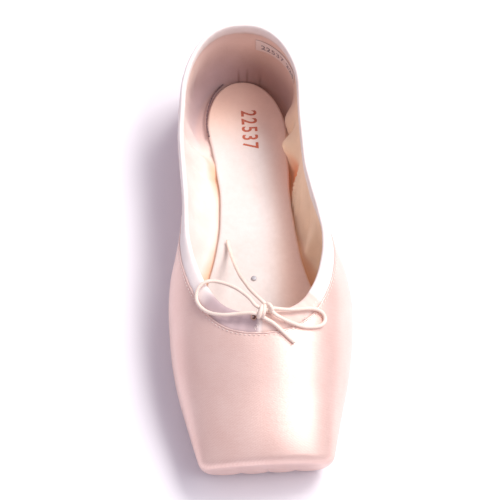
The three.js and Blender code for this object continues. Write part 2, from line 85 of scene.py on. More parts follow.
class Coordinates(Enum):
    """What a pattern is laid out on."""

    CLOTH = "UV"
    SOLID = "Object"


# ------------------------------------------------------------------ curves and grids


def smoothstep(value: Array, low: float, high: float) -> Array:
    """A soft step: 0 below low, 1 above high, t squared times (3 - 2t) between them."""
    t = np.clip((np.asarray(value, float) - low) / (high - low), 0.0, 1.0)
    return t * t * (3.0 - 2.0 * t)


def fade(value: Array, low: float, high: float) -> Array:
    """A soft step down: 1 below low and 0 above high."""
    return 1 - smoothstep(value, low, high)


def bump(value: Array, centre: float, width: float) -> Array:
    """A bell round centre: e to the minus square of the distance over the width."""
    return np.exp(-(((np.asarray(value, float) - centre) / width) ** 2))


def quarter_turn(count: int) -> Array:
    """Angles from 0 to a quarter turn."""
    return np.linspace(0.0, QUARTER, count)


def full_turn(count: int) -> Array:
    """Angles once round, without the last one, which is the first again."""
    return np.linspace(0.0, 2 * math.pi, count, endpoint=False)


def closing_up(start: float, first: float, count: int) -> Array:
    """Stations that close up towards a start: it plus the first step times n squared."""
    return start + first * np.arange(count) ** 2


def in_frame(from_toe: Array, across: Array, height: Array) -> Array:
    """Points in the part's frame, in millimetres, from the shoe's own three measures."""
    parts = np.broadcast_arrays(across - CENTRE_X, from_toe - CENTRE_FROM_TOE, height)
    return np.stack(parts, axis=-1)


def along_axes(values: Array, at: Array, where: Array) -> Array:
    """Straight-line values of each column of a table, at new places along it."""
    columns = [np.interp(where, at, values[:, k]) for k in range(values.shape[1])]
    return np.stack(columns, axis=-1)


class Column:
    """A smooth curve through table rows that never overshoots between two of them."""

    def __init__(self, at: Array, value: Array) -> None:
        """Finds the slope at each row.

        Args:
            at: Where the rows are.
            value: What the rows say.
        """
        self.at = np.asarray(at, float)
        self.value = np.asarray(value, float)
        slope = np.diff(self.value) / np.diff(self.at)
        product = slope[:-1] * slope[1:]
        total = slope[:-1] + slope[1:]
        total = np.where(np.abs(total) < NOTHING, 1.0, total)
        inner = np.where(product > 0, 2.0 * product / total, 0.0)
        self.tangent = np.concatenate([slope[:1], inner, slope[-1:]])

    def __call__(self, where: Array) -> Array:
        """Cubic pieces whose slope at a row is the harmonic mean of those beside it.

        Args:
            where: Places from the first row to the last.

        Returns:
            Values.
        """
        x = np.clip(where, self.at[0], self.at[-1])
        i = np.clip(np.searchsorted(self.at, x, side="left") - 1, 0, len(self.at) - 2)
        span = self.at[i + 1] - self.at[i]
        t = (x - self.at[i]) / span
        rise = self.value[i + 1] - self.value[i]
        bend_in = self.tangent[i] * span - rise
        bend_out = rise - self.tangent[i + 1] * span
        return self.value[i] + rise * t + t * (1 - t) * ((1 - t) * bend_in + t * bend_out)


def arc_lengths(points: Array) -> Array:
    """The length along a line of points up to each of them."""
    steps = np.linalg.norm(np.diff(points, axis=0), axis=1)
    return np.concatenate([[0.0], np.cumsum(steps)])


def resampled(points: Array, count: int) -> Array:
    """The same line with count points, evenly spaced along it."""
    length = arc_lengths(points)
    return along_axes(points, length, np.linspace(0.0, length[-1], count))


def flowing_line(points: Array, count: int) -> Array:
    """A smooth line through given points.

    Between two of them it is a cubic whose slopes are the finite differences over the
    square roots of the chords.

    Args:
        points: The points that it passes through.
        count: How many points come back.

    Returns:
        The line's points, evenly spaced.
    """
    points = np.asarray(points, float)
    chord = np.sqrt(np.linalg.norm(np.diff(points, axis=0), axis=1))
    knots = np.concatenate([[0.0], np.cumsum(chord)])
    slope = np.gradient(points, knots, axis=0)
    at = np.linspace(0.0, knots[-1], count * 4)
    i = np.clip(np.searchsorted(knots, at, side="right") - 1, 0, len(knots) - 2)
    span = (knots[i + 1] - knots[i])[:, None]
    t = (at - knots[i])[:, None] / span
    start = (1 + 2 * t) * (1 - t) ** 2 * points[i] + t * (1 - t) ** 2 * span * slope[i]
    end = t * t * (3 - 2 * t) * points[i + 1] + t * t * (t - 1) * span * slope[i + 1]
    return resampled(start + end, count)


def layered(base: Colour, *layers: tuple[Colour, Array]) -> Array:
    """Colours laid over one another, each by its own share.

    Args:
        base: The colour underneath.
        layers: Colours, each with an array of its shares from 0 to 1.

    Returns:
        The shares' shape by 3.
    """
    shape = np.broadcast_shapes(*(np.shape(share) for _, share in layers))
    result = np.broadcast_to(np.array(base, float), (*shape, 3)).copy()
    for colour, share in layers:
        result = result + (np.array(colour) - result) * np.asarray(share)[..., None]
    return result


def unit(vectors: Array) -> Array:
    """The vectors at length 1."""
    size = np.linalg.norm(vectors, axis=-1, keepdims=True)
    return vectors / np.maximum(size, NOTHING)


def tangents(line: Array, closed: bool) -> Array:
    """Unit vectors along a line at its points, for a closed one round its ends as well."""
    along = np.roll(line, -1, axis=0) - np.roll(line, 1, axis=0)
    return unit(along if closed else np.gradient(line, axis=0))


@dataclass
class Patch:
    """One piece of surface: points in millimetres, quads, and its cloth coordinates.

    tint is the colour of each point, where a finish takes it from the mesh. On the lining,
    casing and insole it holds painted light and shade as well as the cloth's colour.
    """

    points: Array
    faces: Array
    cloth: Array
    tint: Array | None = None

    def tints(self) -> Array:
        """The colour of each point, white where none was given."""
        return np.ones((len(self.points), 3)) if self.tint is None else self.tint

    @staticmethod
    def joined(patches: list["Patch"]) -> "Patch":
        """Several patches as one, white where one has no tint."""
        starts = np.cumsum([0] + [len(p.points) for p in patches[:-1]])
        return Patch(
            np.concatenate([p.points for p in patches]),
            np.concatenate([p.faces + start for p, start in zip(patches, starts)]),
            np.concatenate([p.cloth for p in patches]),
            np.concatenate([p.tints() for p in patches]),
        )

    @staticmethod
    def from_grid(points: Array, cloth: Array, wrap_rows: bool = False,
                  wrap_columns: bool = False, flip: bool = False,
                  tint: Array | None = None) -> "Patch":
        """A patch from a grid of points, with a quad between each four neighbours.

        Args:
            points: Rows by columns by 3, in the part's frame.
            cloth: Rows by columns by 2, in millimetres along the cloth.
            wrap_rows: Whether the last row meets the first.
            wrap_columns: Whether the last column meets the first.
            flip: Whether the faces are turned over.
            tint: Rows by columns by 3, the colour of each point.

        Returns:
            The patch.
        """
        rows, columns = points.shape[:2]
        i = np.arange(rows if wrap_rows else rows - 1)[:, None]
        j = np.arange(columns if wrap_columns else columns - 1)[None, :]
        below, above = i * columns, ((i + 1) % rows) * columns
        right = (j + 1) % columns
        corners = (below + j, above + j, above + right, below + right)
        faces = np.stack(np.broadcast_arrays(*corners), axis=-1).reshape(-1, 4)
        if flip:
            faces = faces[:, ::-1]
        flat_tint = None if tint is None else tint.reshape(-1, 3)
        return Patch(points.reshape(-1, 3), faces, cloth.reshape(-1, 2), flat_tint)

    def outwards(self) -> "Patch":
        """The same closed patch with its faces turned outwards.

        They look inwards if the sum of the faces' triple products, which is six times the
        space inside, is negative.

        Returns:
            The patch.
        """
        a, b, c, d = (self.points[self.faces[:, k]] for k in range(4))
        first = np.einsum("ij,ij->i", a, np.cross(b, c))
        second = np.einsum("ij,ij->i", a, np.cross(c, d))
        if np.sum(first + second) < 0:
            return Patch(self.points, self.faces[:, ::-1], self.cloth, self.tint)
        return self


def in_scene(name: str, data: bpy.types.ID) -> Object:
    """An object of some data, put in the scene at the origin."""
    made = bpy.data.objects.new(name, data)
    bpy.context.scene.collection.objects.link(made)
    return made


def place_on_part(piece: Object, material: Material, slot: str, *nodes: str) -> None:
    """Dresses a piece, hangs it on the root body and hides the nodes it stands for.

    Args:
        piece: The piece.
        material: Its finish.
        slot: The name of a material slot. Not used.
        nodes: The part's nodes that it stands for.
    """
    piece.data.materials.append(material)
    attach(piece, "root")
    if nodes:
        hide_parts(*nodes)
    log.info("%s: %d faces", piece.name, len(piece.data.polygons))


def make_piece(name: str, patch: Patch, material: Material, slot: str, *nodes: str,
               wall: float = 0.0, weld: float = 0.004) -> Object:
    """Makes a smooth-shaded piece of a patch and places it, with doubled corners merged.

    Args:
        name: The piece's name.
        patch: The surface, in millimetres of the part's frame.
        material: Its finish.
        slot: The name of a material slot.
        nodes: The part's nodes that it stands for.
        wall: Thickness in millimetres, on the side that the faces look away from.
        weld: Corners nearer than this become one, in millimetres, and edges shorter than
            half of it are dissolved.

    Returns:
        The object, at the origin.
    """
    mesh = bpy.data.meshes.new(name)
    mesh.from_pydata((patch.points * MM).tolist(), [], patch.faces.tolist())
    layer = mesh.uv_layers.new(name="cloth")
    corner = np.zeros(len(mesh.loops), dtype=np.int32)
    mesh.loops.foreach_get("vertex_index", corner)
    layer.data.foreach_set("uv", (patch.cloth[corner] * MM).astype(np.float32).ravel())
    if patch.tint is not None:
        tint = mesh.attributes.new("tint", "FLOAT_COLOR", "POINT")
        colours = np.concatenate([patch.tint, np.ones((len(patch.tint), 1))], axis=1)
        tint.data.foreach_set("color", colours.astype(np.float32).ravel())
    work = bmesh.new()
    work.from_mesh(mesh)
    bmesh.ops.remove_doubles(work, verts=work.verts, dist=weld * MM)
    bmesh.ops.dissolve_degenerate(work, edges=work.edges, dist=weld * MM / 2)
    work.to_mesh(mesh)
    work.free()
    mesh.polygons.foreach_set("use_smooth", np.ones(len(mesh.polygons), dtype=bool))
    mesh.update()
    piece = in_scene(name, mesh)
    if wall > 0:
        solid = piece.modifiers.new("wall", "SOLIDIFY")
        solid.thickness = wall * MM
        solid.offset = -1.0
        solid.use_even_offset = False
    place_on_part(piece, material, slot, *nodes)
    return piece


def tube(line: Array, radius: Array | float, sides: int, up: Array, closed: bool,
         round_ends: bool = False) -> Patch:
    """A round cord along a line.

    Each ring is the line's point plus the radius times (cos a, sin a) in the two
    directions square to the line, the first of them square to up as well. An open
    cord's ends shrink to a point as a half ball does.

    Args:
        line: The centre line, in the part's frame.
        radius: The radius, one for all or one for each point.
        sides: Corners round it.
        up: A direction never parallel to the line.
        closed: Whether the line runs back to its start.
        round_ends: Whether half balls close the ends of an open line.

    Returns:
        The closed surface.
    """
    size = np.broadcast_to(np.asarray(radius, float), (len(line),)).copy()
    direction = tangents(line, closed)
    if not closed and round_ends:
        cap = np.sin(quarter_turn(END_RINGS + 1))
        reach = np.sqrt(1.0 - cap[::-1] ** 2)
        start = line[0] - direction[0] * (size[0] * reach[:, None])
        end = line[-1] + direction[-1] * (size[-1] * reach[::-1][:, None])
        line = np.concatenate([start[:-1], line, end[1:]])
        size = np.concatenate([size[0] * cap[:-1], size, size[-1] * cap[::-1][1:]])
        direction = np.concatenate([
            np.repeat(direction[:1], END_RINGS, axis=0), direction,
            np.repeat(direction[-1:], END_RINGS, axis=0),
        ])
    sideways = unit(np.cross(direction, np.asarray(up, float)))
    upward = unit(np.cross(sideways, direction))
    angle = full_turn(sides)
    ring = np.cos(angle)[None, :, None] * sideways[:, None, :]
    ring = ring + np.sin(angle)[None, :, None] * upward[:, None, :]
    points = line[:, None, :] + ring * size[:, None, None]
    around = CORD_CLOTH * np.abs(np.linspace(-1.0, 1.0, sides, endpoint=False))
    cloth = np.stack(np.broadcast_arrays(arc_lengths(line)[:, None], around), axis=-1)
    return Patch.from_grid(points, cloth, closed, True).outwards()


# ------------------------------------------------------------------ the last

LAST_STATIONS = (0, 12, 24, 36, 49, 62, 76, 90, 102, 116, 134, 152, 170, 186, 202, 232)
LAST_TABLE = {
    "middle": (0.3, 0.3, 0.4, 0.7, 1.1, 1.6, 1.9, 1.7, 1.3, 0.5, -0.7, -2, -2.4, -1.8, -0.8,
               0),
    "half": (30, 33.4, 36.8, 39.8, 42.1, 43.5, 44.1, 42.9, 39.8, 35.4, 32.5, 31.9, 32, 31.7,
             31.2, 31),
    "sole_middle": (0, 0.2, 0.6, 1.2, 1.8, 2.3, 2.7, 3, 3.2, 3.4, 3.5, 3.5, 3.1, 2.4, 1.4, 0),
    "sole_half": (23, 26.5, 29.5, 32, 33.6, 34.2, 33.6, 31.2, 27.6, 23.6, 20.4, 19.6, 21,
                  23.2, 24.6, 25),
    "belly": (17, 17.6, 18, 18.5, 18.5, 19, 20, 21.5, 24, 29, 32, 32, 30, 26, 24, 24),
    "crown": (26.5, 33.4, 39.2, 44.4, 49.5, 52.7, 54.6, 56.4, 59, 66, 80, 90, 95, 99, 101,
              102),
    "flare": (2.2, 2.2, 2.2, 2.2, 2.2, 2.2, 2.1, 2, 1.8, 1.6, 1.5, 1.5, 1.6, 1.8, 2, 2),
}
WALL_STATIONS = (0, 40, 75, 115, 232)
WALL_TABLE = (3.4, 3.2, 2.6, 2.2, 2.2)
OUTSOLE_STATIONS = (24, 44, 64, 82, 100, 120, 144, 166, 186, 202, 224)
OUTSOLE_MIDDLE = (0.6, 1.6, 2.4, 2.9, 3.2, 3.4, 3.5, 3.2, 2.4, 1.4, 0.2)
OUTSOLE_HALF = (20.0, 23.6, 25.6, 24.4, 19.6, 14.2, 11.8, 13.4, 17.6, 19.6, 19.4)

# The open edge and the satin's edge, from the middle of the throat to the middle of the
# heel: from_toe, half width, height.
OPENING_EDGE = (
    (58, 0, 52.4), (58.5, 6.5, 52.1), (60.6, 13.4, 51.4), (64.7, 19, 50.5), (71.5, 23.8, 49.7),
    (79, 27.5, 48.8), (88, 30.2, 47.5), (99, 31.9, 45.7), (112, 33, 43.5), (128, 32.3, 41.9),
    (144, 31.7, 41.4), (160, 31.6, 42.4), (176, 31.2, 45.2), (190, 30, 49.2), (202, 27.2, 53),
    (212, 22, 56), (219, 14.6, 57.8), (223.6, 6.5, 58.7), (225, 0, 59),
)
SATIN_EDGE = (
    (49, 0, 49.5), (49.8, 8.5, 49.4), (52.6, 16.4, 48.9), (58.5, 23.4, 48), (66, 28.2, 46.8),
    (75, 32, 45.2), (86, 35, 43.2), (98, 36.2, 40.4), (112, 35.4, 36.6), (128, 33, 33.6),
    (144, 32, 32.6), (160, 31.9, 33.5), (176, 31.8, 36.2), (190, 30.9, 40.2), (203, 28, 44.2),
    (214, 22.4, 47.2), (222, 14.8, 48.9), (226.8, 6.5, 49.7), (228.2, 0, 50),
)


@dataclass
class Rings:
    """Cross-sections of the shoe: one value of each field for each of them.

    inset and rise draw the section in and up from the outside, end_scale narrows it in
    the round heel, and shrink draws it in towards its own middle, for the flat platform.
    hole is the half width that is left open in its underside.
    """

    from_toe: Array
    inset: Array
    rise: Array
    end_scale: Array
    shrink: Array
    hole: Array


@dataclass
class Places:
    """Places on one side of the form, each field an array of one value for each of them.

    way is how far round the section they are: 0 to 1 along the underside, 1 to 2 up the
    wall and 2 to 3 over the dome.
    """

    side: Side
    way: Array
    from_toe: Array
    across: Array
    height: Array


@dataclass(frozen=True)
class CutEdge:
    """An edge of the shoe, as straight cuts that fan out from a line inside the foot.

    The line runs from spine_front to spine_back, a drop below the edge.
    """

    rows: tuple[Point, ...]
    spine_front: float = 67.0
    spine_back: float = 195.0
    drop: float = 17.0
    line_points: int = 700

    def place(self, across: Array, from_toe: Array) -> tuple[Array, Array]:
        """Where a point lies in the fan of cuts.

        Args:
            across: Distance from the middle line.
            from_toe: Distance from the platform.

        Returns:
            A turn, 0 at the throat's middle to 3 at the heel's, and the distance from the
            line inside the foot.
        """
        ahead = self.spine_front - from_toe
        behind = from_toe - self.spine_back
        middle = 1 + (from_toe - self.spine_front) / (self.spine_back - self.spine_front)
        front = np.arctan2(across, np.maximum(ahead, NOTHING)) / QUARTER
        back = 3 - np.arctan2(across, np.maximum(behind, NOTHING)) / QUARTER
        turn = np.where(ahead > 0, front, np.where(behind > 0, back, middle))
        reach = np.hypot(across, np.maximum(np.maximum(ahead, behind), 0))
        return turn, reach

    def above(self, across: Array, from_toe: Array, height: Array) -> Array:
        """How far points are above the cut.

        Args:
            across: Distances from the middle line.
            from_toe: Distances from the platform.
            height: Heights above the floor.

        Returns:
            Millimetres, negative below the cut.
        """
        line = flowing_line(np.array(self.rows), self.line_points)
        line[0, 1] = 0.0
        line[-1, 1] = 0.0
        turn, reach = self.place(line[:, 1], line[:, 0])
        order = np.argsort(turn)
        here, out = self.place(across, from_toe)
        edge_reach = np.interp(here, turn[order], reach[order])
        edge_height = np.interp(here, turn[order], line[order, 2])
        cut = edge_height - self.drop + self.drop * out / edge_reach
        return height - cut


@dataclass(frozen=True)
class Last:
    """The form of the foot that the shoe is made on, in millimetres."""

    length: float = 232.0
    outsole_thickness: float = 2.4
    insole_thickness: float = 2.8
    margin_thickness: float = 2.2
    platform_wall: float = 4.0
    sole_inset_share: float = 0.6
    toe_edge_radius: float = 3.5
    toe_edge_radius_inside: float = 3.0
    heel_rounding: float = 38.0
    heel_power: float = 2.1
    dome_power: float = 2.2
    outsole_tip: float = 24.0
    outsole_back: float = 224.0
    outsole_tip_rounding: float = 17.0
    outsole_back_rounding: float = 20.0
    outsole_cover: float = 4.0
    spring_start: float = 52.0
    spring_reach: float = 28.0
    spring_height: float = 0.5
    arch_start: float = 82.0
    arch_length: float = 105.0
    arch_height: float = 2.5
    overhang_share: float = 0.2
    overhang_foot: float = 3.0
    overhang_end: float = 28.0
    lean: float = 6.6
    lean_foot: float = 24.0
    lean_height: float = 34.0
    lean_start: float = 150.0
    lean_end: float = 205.0
    tuck: float = 3.0
    insole_opening_share: float = 0.6
    insole_opening_front: tuple[float, float] = (26.0, 40.0)
    insole_opening_back: tuple[float, float] = (205.0, 218.0)
    station_step: float = 1.4

    def at(self, column: str, from_toe: Array) -> Array:
        """A column of the table of sections at these stations."""
        return Column(LAST_STATIONS, LAST_TABLE[column])(from_toe)

    def wall(self, from_toe: Array) -> Array:
        """Thickness of the upper."""
        return Column(WALL_STATIONS, WALL_TABLE)(from_toe)

    def lift(self, from_toe: Array) -> Array:
        """Height of the sole: a spring under the toe and an arch under the waist.

        The spring is its height times its share of the reach to the power 1.4, the arch
        its height times the square of a half sine.

        Args:
            from_toe: Stations.

        Returns:
            Heights above the floor.
        """
        reach = np.clip((self.spring_start - from_toe) / self.spring_reach, 0, None)
        along = np.clip((from_toe - self.arch_start) / self.arch_length, 0, 1)
        return self.spring_height * reach**1.4 + self.arch_height * np.sin(math.pi * along) ** 2

    def round_end(self, depth: Array, length: float) -> Array:
        """Share of the width left in a round end: a superellipse of the heel's power."""
        into = np.clip(depth / length, 0, 1)
        return (1 - into**self.heel_power) ** (1 / self.heel_power)

    def outsole_middle(self, from_toe: Array) -> Array:
        """Middle line of the outsole."""
        return Column(OUTSOLE_STATIONS, OUTSOLE_MIDDLE)(from_toe)

    def outsole_half(self, from_toe: Array, inset: float) -> Array:
        """Half width of the outsole with its round ends.

        Args:
            from_toe: Stations.
            inset: How far it is drawn in.

        Returns:
            Half widths.
        """
        from_tip = self.outsole_tip + self.outsole_tip_rounding - from_toe
        from_back = from_toe - (self.outsole_back - self.outsole_back_rounding)
        tip = self.round_end(from_tip, self.outsole_tip_rounding - inset)
        back = self.round_end(from_back, self.outsole_back_rounding - inset)
        half = Column(OUTSOLE_STATIONS, OUTSOLE_HALF)(from_toe) - inset
        return half * np.minimum(tip, back)

    def placed(self, from_toe: Array, across: Array, height: Array) -> Array:
        """Points in the part's frame, with the toe's overhang and the heel's lean.

        At the toe a point moves forward by a share of its height. Over the heel it leans
        in by the lean times its share of the height to the power 1.6, and below the
        heel's belly it tucks in by the tuck times the square of its depth.

        Args:
            from_toe: Stations.
            across: Places across.
            height: Heights above the floor.

        Returns:
            Points in millimetres.
        """
        toe = fade(from_toe, 0, self.overhang_end)
        overhang = toe * self.overhang_share * (height - self.overhang_foot)
        above = np.clip((height - self.lean_foot) / self.lean_height, 0, None)
        below = np.clip((self.lean_foot - height) / self.lean_foot, 0, None)
        heel = smoothstep(from_toe, self.lean_start, self.lean_end)
        lean = heel * (self.lean * above**1.6 + self.tuck * below**2)
        return in_frame(from_toe - overhang - lean, across, height)

    def rings(self, front: float, rise: float, edge_radius: float, lined: bool,
              extra: Array) -> Rings:
        """Cross-sections from the middle of the platform to the back of the heel.

        Args:
            front: Where the platform's face is.
            rise: How much the underside is raised.
            edge_radius: Rounding of the platform's edge.
            lined: Whether the form is the inside of the wall.
            extra: More stations, where fine detail needs them.

        Returns:
            The sections, the first of them a point and the last a line.
        """
        heel_start = self.length - self.heel_rounding
        wall_end = float(self.wall(np.array([self.length]))[0]) if lined else 0.0
        heel_length = self.heel_rounding - wall_end
        cap = np.linspace(0.0, 1.0, 16)[:-1]
        turn = quarter_turn(12)
        depth = edge_radius * (1 - np.cos(turn))
        drawn = edge_radius * (1 - np.sin(turn))
        step = self.station_step
        body = np.arange(front + edge_radius + step, heel_start - 0.5, step)
        body = np.unique(np.round(np.concatenate([body, extra]), 4))
        heel = heel_length * np.sin(quarter_turn(44))
        from_toe = np.concatenate([
            np.full(len(cap), front), front + depth, body, heel_start + heel,
        ])
        drawn_in = np.concatenate([
            np.full(len(cap), edge_radius), drawn, np.zeros(len(body) + len(heel)),
        ])
        scale = np.ones(len(from_toe))
        scale[-len(heel):] = self.round_end(heel, heel_length)
        scale[-1] = 0.0
        shrink = np.ones(len(from_toe))
        shrink[: len(cap)] = cap
        wall = self.wall(from_toe) if lined else np.zeros(len(from_toe))
        if lined:
            half = self.at("sole_half", from_toe) * self.insole_opening_share * scale
            ends = smoothstep(from_toe, *self.insole_opening_front)
            hole = half * (ends * fade(from_toe, *self.insole_opening_back))
        else:
            hole = self.outsole_half(from_toe, self.outsole_cover)
        hole = np.where(hole < SLIVER, 0.0, hole)
        return Rings(from_toe, wall + drawn_in, rise + drawn_in, scale, shrink, hole)

    def section(self, rings: Rings, way: Array, side: Side) -> Places:
        """Places round one side of the sections.

        The underside is flat, the wall a superellipse whose power is the flare, and the
        dome a superellipse of the dome's power, up to the crown.

        Args:
            rings: The sections.
            way: Sections by points, each from 0 to 3.
            side: Which side.

        Returns:
            The places, sections by points.
        """
        station = rings.from_toe[:, None]
        inset = rings.inset[:, None]
        scale = rings.end_scale[:, None]
        hand = side.value
        base = self.lift(station) + self.outsole_thickness + GAP + rings.rise[:, None]
        belly = np.maximum(self.at("belly", station), base + 2)
        crown = self.at("crown", station) - inset
        middle = self.at("middle", station)
        half = (self.at("half", station) - inset) * scale
        sole_half = (self.at("sole_half", station) - inset * self.sole_inset_share) * scale
        sole_edge = self.at("sole_middle", station) + hand * sole_half
        hole_edge = self.outsole_middle(station) * scale**0.5 + hand * rings.hole[:, None]
        shape = 2 / self.at("flare", station)
        low = np.clip(way - 1, 0, 1) * QUARTER
        high = np.clip(way - 2, 0, 1) * QUARTER
        out = np.sin(low) ** shape
        up = 1 - np.clip(np.cos(low), 0, None) ** shape
        dome = 2 / self.dome_power
        flat_across = hole_edge + (sole_edge - hole_edge) * np.clip(way, 0, 1)
        wall_across = sole_edge + (middle + hand * half - sole_edge) * out
        dome_across = middle + hand * half * np.clip(np.cos(high), 0, None) ** dome
        across = np.where(way < 1, flat_across, np.where(way < 2, wall_across, dome_across))
        dome_height = belly + (crown - belly) * np.sin(high) ** dome
        wall_height = base + (belly - base) * up
        height = np.where(way < 1, base, np.where(way < 2, wall_height, dome_height))
        shrink = rings.shrink[:, None]
        centre_height = (base + crown) / 2
        across = middle + (across - middle) * shrink
        height = centre_height + (height - centre_height) * shrink
        return Places(side, way, np.broadcast_to(station, way.shape), across, height)

    def top_way(self, rings: Rings, edge: CutEdge) -> Array:
        """How far up its dome each section goes before an edge cuts it.

        Args:
            rings: The sections.
            edge: The edge.

        Returns:
            For each section its way from 2 to 3, which is 3 if it closes over the foot.
        """
        steps = np.linspace(2.0, 3.0, 500)
        way = np.broadcast_to(steps, (len(rings.from_toe), len(steps)))
        at = self.section(rings, way, Side.RIGHT)
        from_toe = self.placed(at.from_toe, at.across, at.height)[..., 1] + CENTRE_FROM_TOE
        sideways = at.across - self.at("middle", at.from_toe)
        above = edge.above(np.abs(sideways), from_toe, at.height)
        first = np.argmax(above > 0, axis=1)
        cut = above.max(axis=1) > 0
        first = np.clip(first, 1, len(steps) - 1)
        row = np.arange(len(first))
        lower, upper = above[row, first - 1], above[row, first]
        share = np.clip(-lower / np.where(upper - lower == 0, 1, upper - lower), 0, 1)
        found = steps[first - 1] + share * (steps[1] - steps[0])
        return np.where(cut, found, 3.0)

    def edge_line(self, edge: CutEdge, count: int) -> Array:
        """An edge on the outside of the shoe, from the throat's middle to the heel's.

        Args:
            edge: The edge.
            count: Number of points.

        Returns:
            Points in the part's frame along the right side, evenly spaced.
        """
        start = edge.rows[0][0]
        heel_start = self.length - self.heel_rounding
        close = closing_up(start, 0.01, 40)
        step = 0.8
        body = np.arange(close[-1] + step, heel_start, step)
        heel = self.heel_rounding * np.sin(quarter_turn(120))
        stations = np.concatenate([close, body, heel_start + heel])
        zero = np.zeros(len(stations))
        scale = self.round_end(stations - heel_start, self.heel_rounding)
        scale[-1] = 0.0
        rings = Rings(stations, zero, zero, scale, zero + 1, zero)
        way = self.top_way(rings, edge)
        at = self.section(rings, way[:, None], Side.RIGHT)
        return resampled(self.placed(at.from_toe, at.across, at.height)[:, 0, :], count)


def mirrored(line: Array, last: Last) -> Array:
    """A line of points on the right side carried over to the left one."""
    middle = last.at("middle", line[:, 1] + CENTRE_FROM_TOE) - CENTRE_X
    left = line.copy()
    left[:, 0] = 2 * middle - line[:, 0]
    return left


@dataclass(frozen=True)
class Crease:
    """A soft trough or ridge on one side of the shoe.

    Its height is rise times a bell along it and a bell across it. The angle is from
    the shoe's length towards the vertical, in degrees.
    """

    side: Side
    from_toe: float
    height: float
    angle: float
    length: float
    width: float
    rise: float

    @staticmethod
    def several(side: Side, *rows: tuple[float, ...]) -> tuple["Crease", ...]:
        """Creases on one side, each a row of the numbers after the side."""
        return tuple(Crease(side, *row) for row in rows)

    def shape(self, from_toe: Array, height: Array) -> Array:
        """The crease's height at these places.

        Args:
            from_toe: Stations.
            height: Heights above the floor.

        Returns:
            Millimetres.
        """
        a = math.radians(self.angle)
        x = from_toe - self.from_toe
        z = height - self.height
        along = x * math.cos(a) + z * math.sin(a)
        across = -x * math.sin(a) + z * math.cos(a)
        return self.rise * np.exp(-((along / self.length) ** 2) - (across / self.width) ** 2)


@dataclass
class WallSheet:
    """A sheet that follows the last on both sides: the satin outside or the lining."""

    last: Last
    rings: Rings
    edge: CutEdge
    creases: tuple[Crease, ...] = ()
    sole_columns: int = 10
    wall_columns: int = 18
    dome_columns: int = 44

    def relief(self, at: Places) -> Array:
        """How far the sheet stands out from the last: the sum of its creases.

        Args:
            at: Places on it.

        Returns:
            Millimetres at each of them.
        """
        total = np.zeros(at.from_toe.shape)
        for crease in self.creases:
            if crease.side is at.side:
                total = total + crease.shape(at.from_toe, at.height)
        return total

    def tint(self, at: Places) -> Array:
        """The colour of each place: white, where the finish has its own."""
        return np.ones((*at.across.shape, 3))

    def patch(self, outside: bool) -> Patch:
        """Both sides of the sheet as one surface.

        Args:
            outside: Whether its faces look out of the shoe.

        Returns:
            The patch, its shared lines at the same points on both sides.
        """
        top = self.last.top_way(self.rings, self.edge)
        sole = np.linspace(0, 1, self.sole_columns, endpoint=False)
        wall = np.linspace(1, 2, self.wall_columns, endpoint=False)
        low = np.concatenate([sole, wall])
        dome = 2 + (top[:, None] - 2) * np.linspace(0, 1, self.dome_columns)[None, :]
        way = np.concatenate([np.broadcast_to(low, (len(top), len(low))), dome], axis=1)
        facing = 1 if outside else -1
        sheets: dict[Side, Array] = {}
        cloths: dict[Side, Array] = {}
        tints: dict[Side, Array] = {}
        for side in Side:
            at = self.last.section(self.rings, way, side)
            points = self.last.placed(at.from_toe, at.across, at.height)
            relief = self.relief(at)
            relief[0] = 0.0
            normal = unit(np.cross(np.gradient(points, axis=0), np.gradient(points, axis=1)))
            outward = normal * (side.value * facing)
            sheets[side] = points + outward * relief[..., None]
            tints[side] = self.tint(at)
            steps = np.linalg.norm(np.diff(points, axis=1), axis=2)
            around = np.pad(np.cumsum(steps, axis=1), ((0, 0), (1, 0)))
            belly = around[:, self.sole_columns + self.wall_columns][:, None]
            cloths[side] = np.stack([at.from_toe, (around - belly) * side.value], axis=-1)
        left, right = sheets[Side.LEFT], sheets[Side.RIGHT]
        shared = np.zeros(left.shape[:2], dtype=bool)
        shared[top >= 3.0 - SLIVER, -1] = True
        shared[self.rings.hole <= 0, 0] = True
        shared[[0, -1]] = True
        left[shared] = (left[shared] + right[shared]) / 2
        right[shared] = left[shared]
        return Patch.joined([
            Patch.from_grid(sheets[side], cloths[side], flip=(side is Side.LEFT) == outside,
                            tint=tints[side])
            for side in Side
        ])


# ------------------------------------------------------------------ finishes


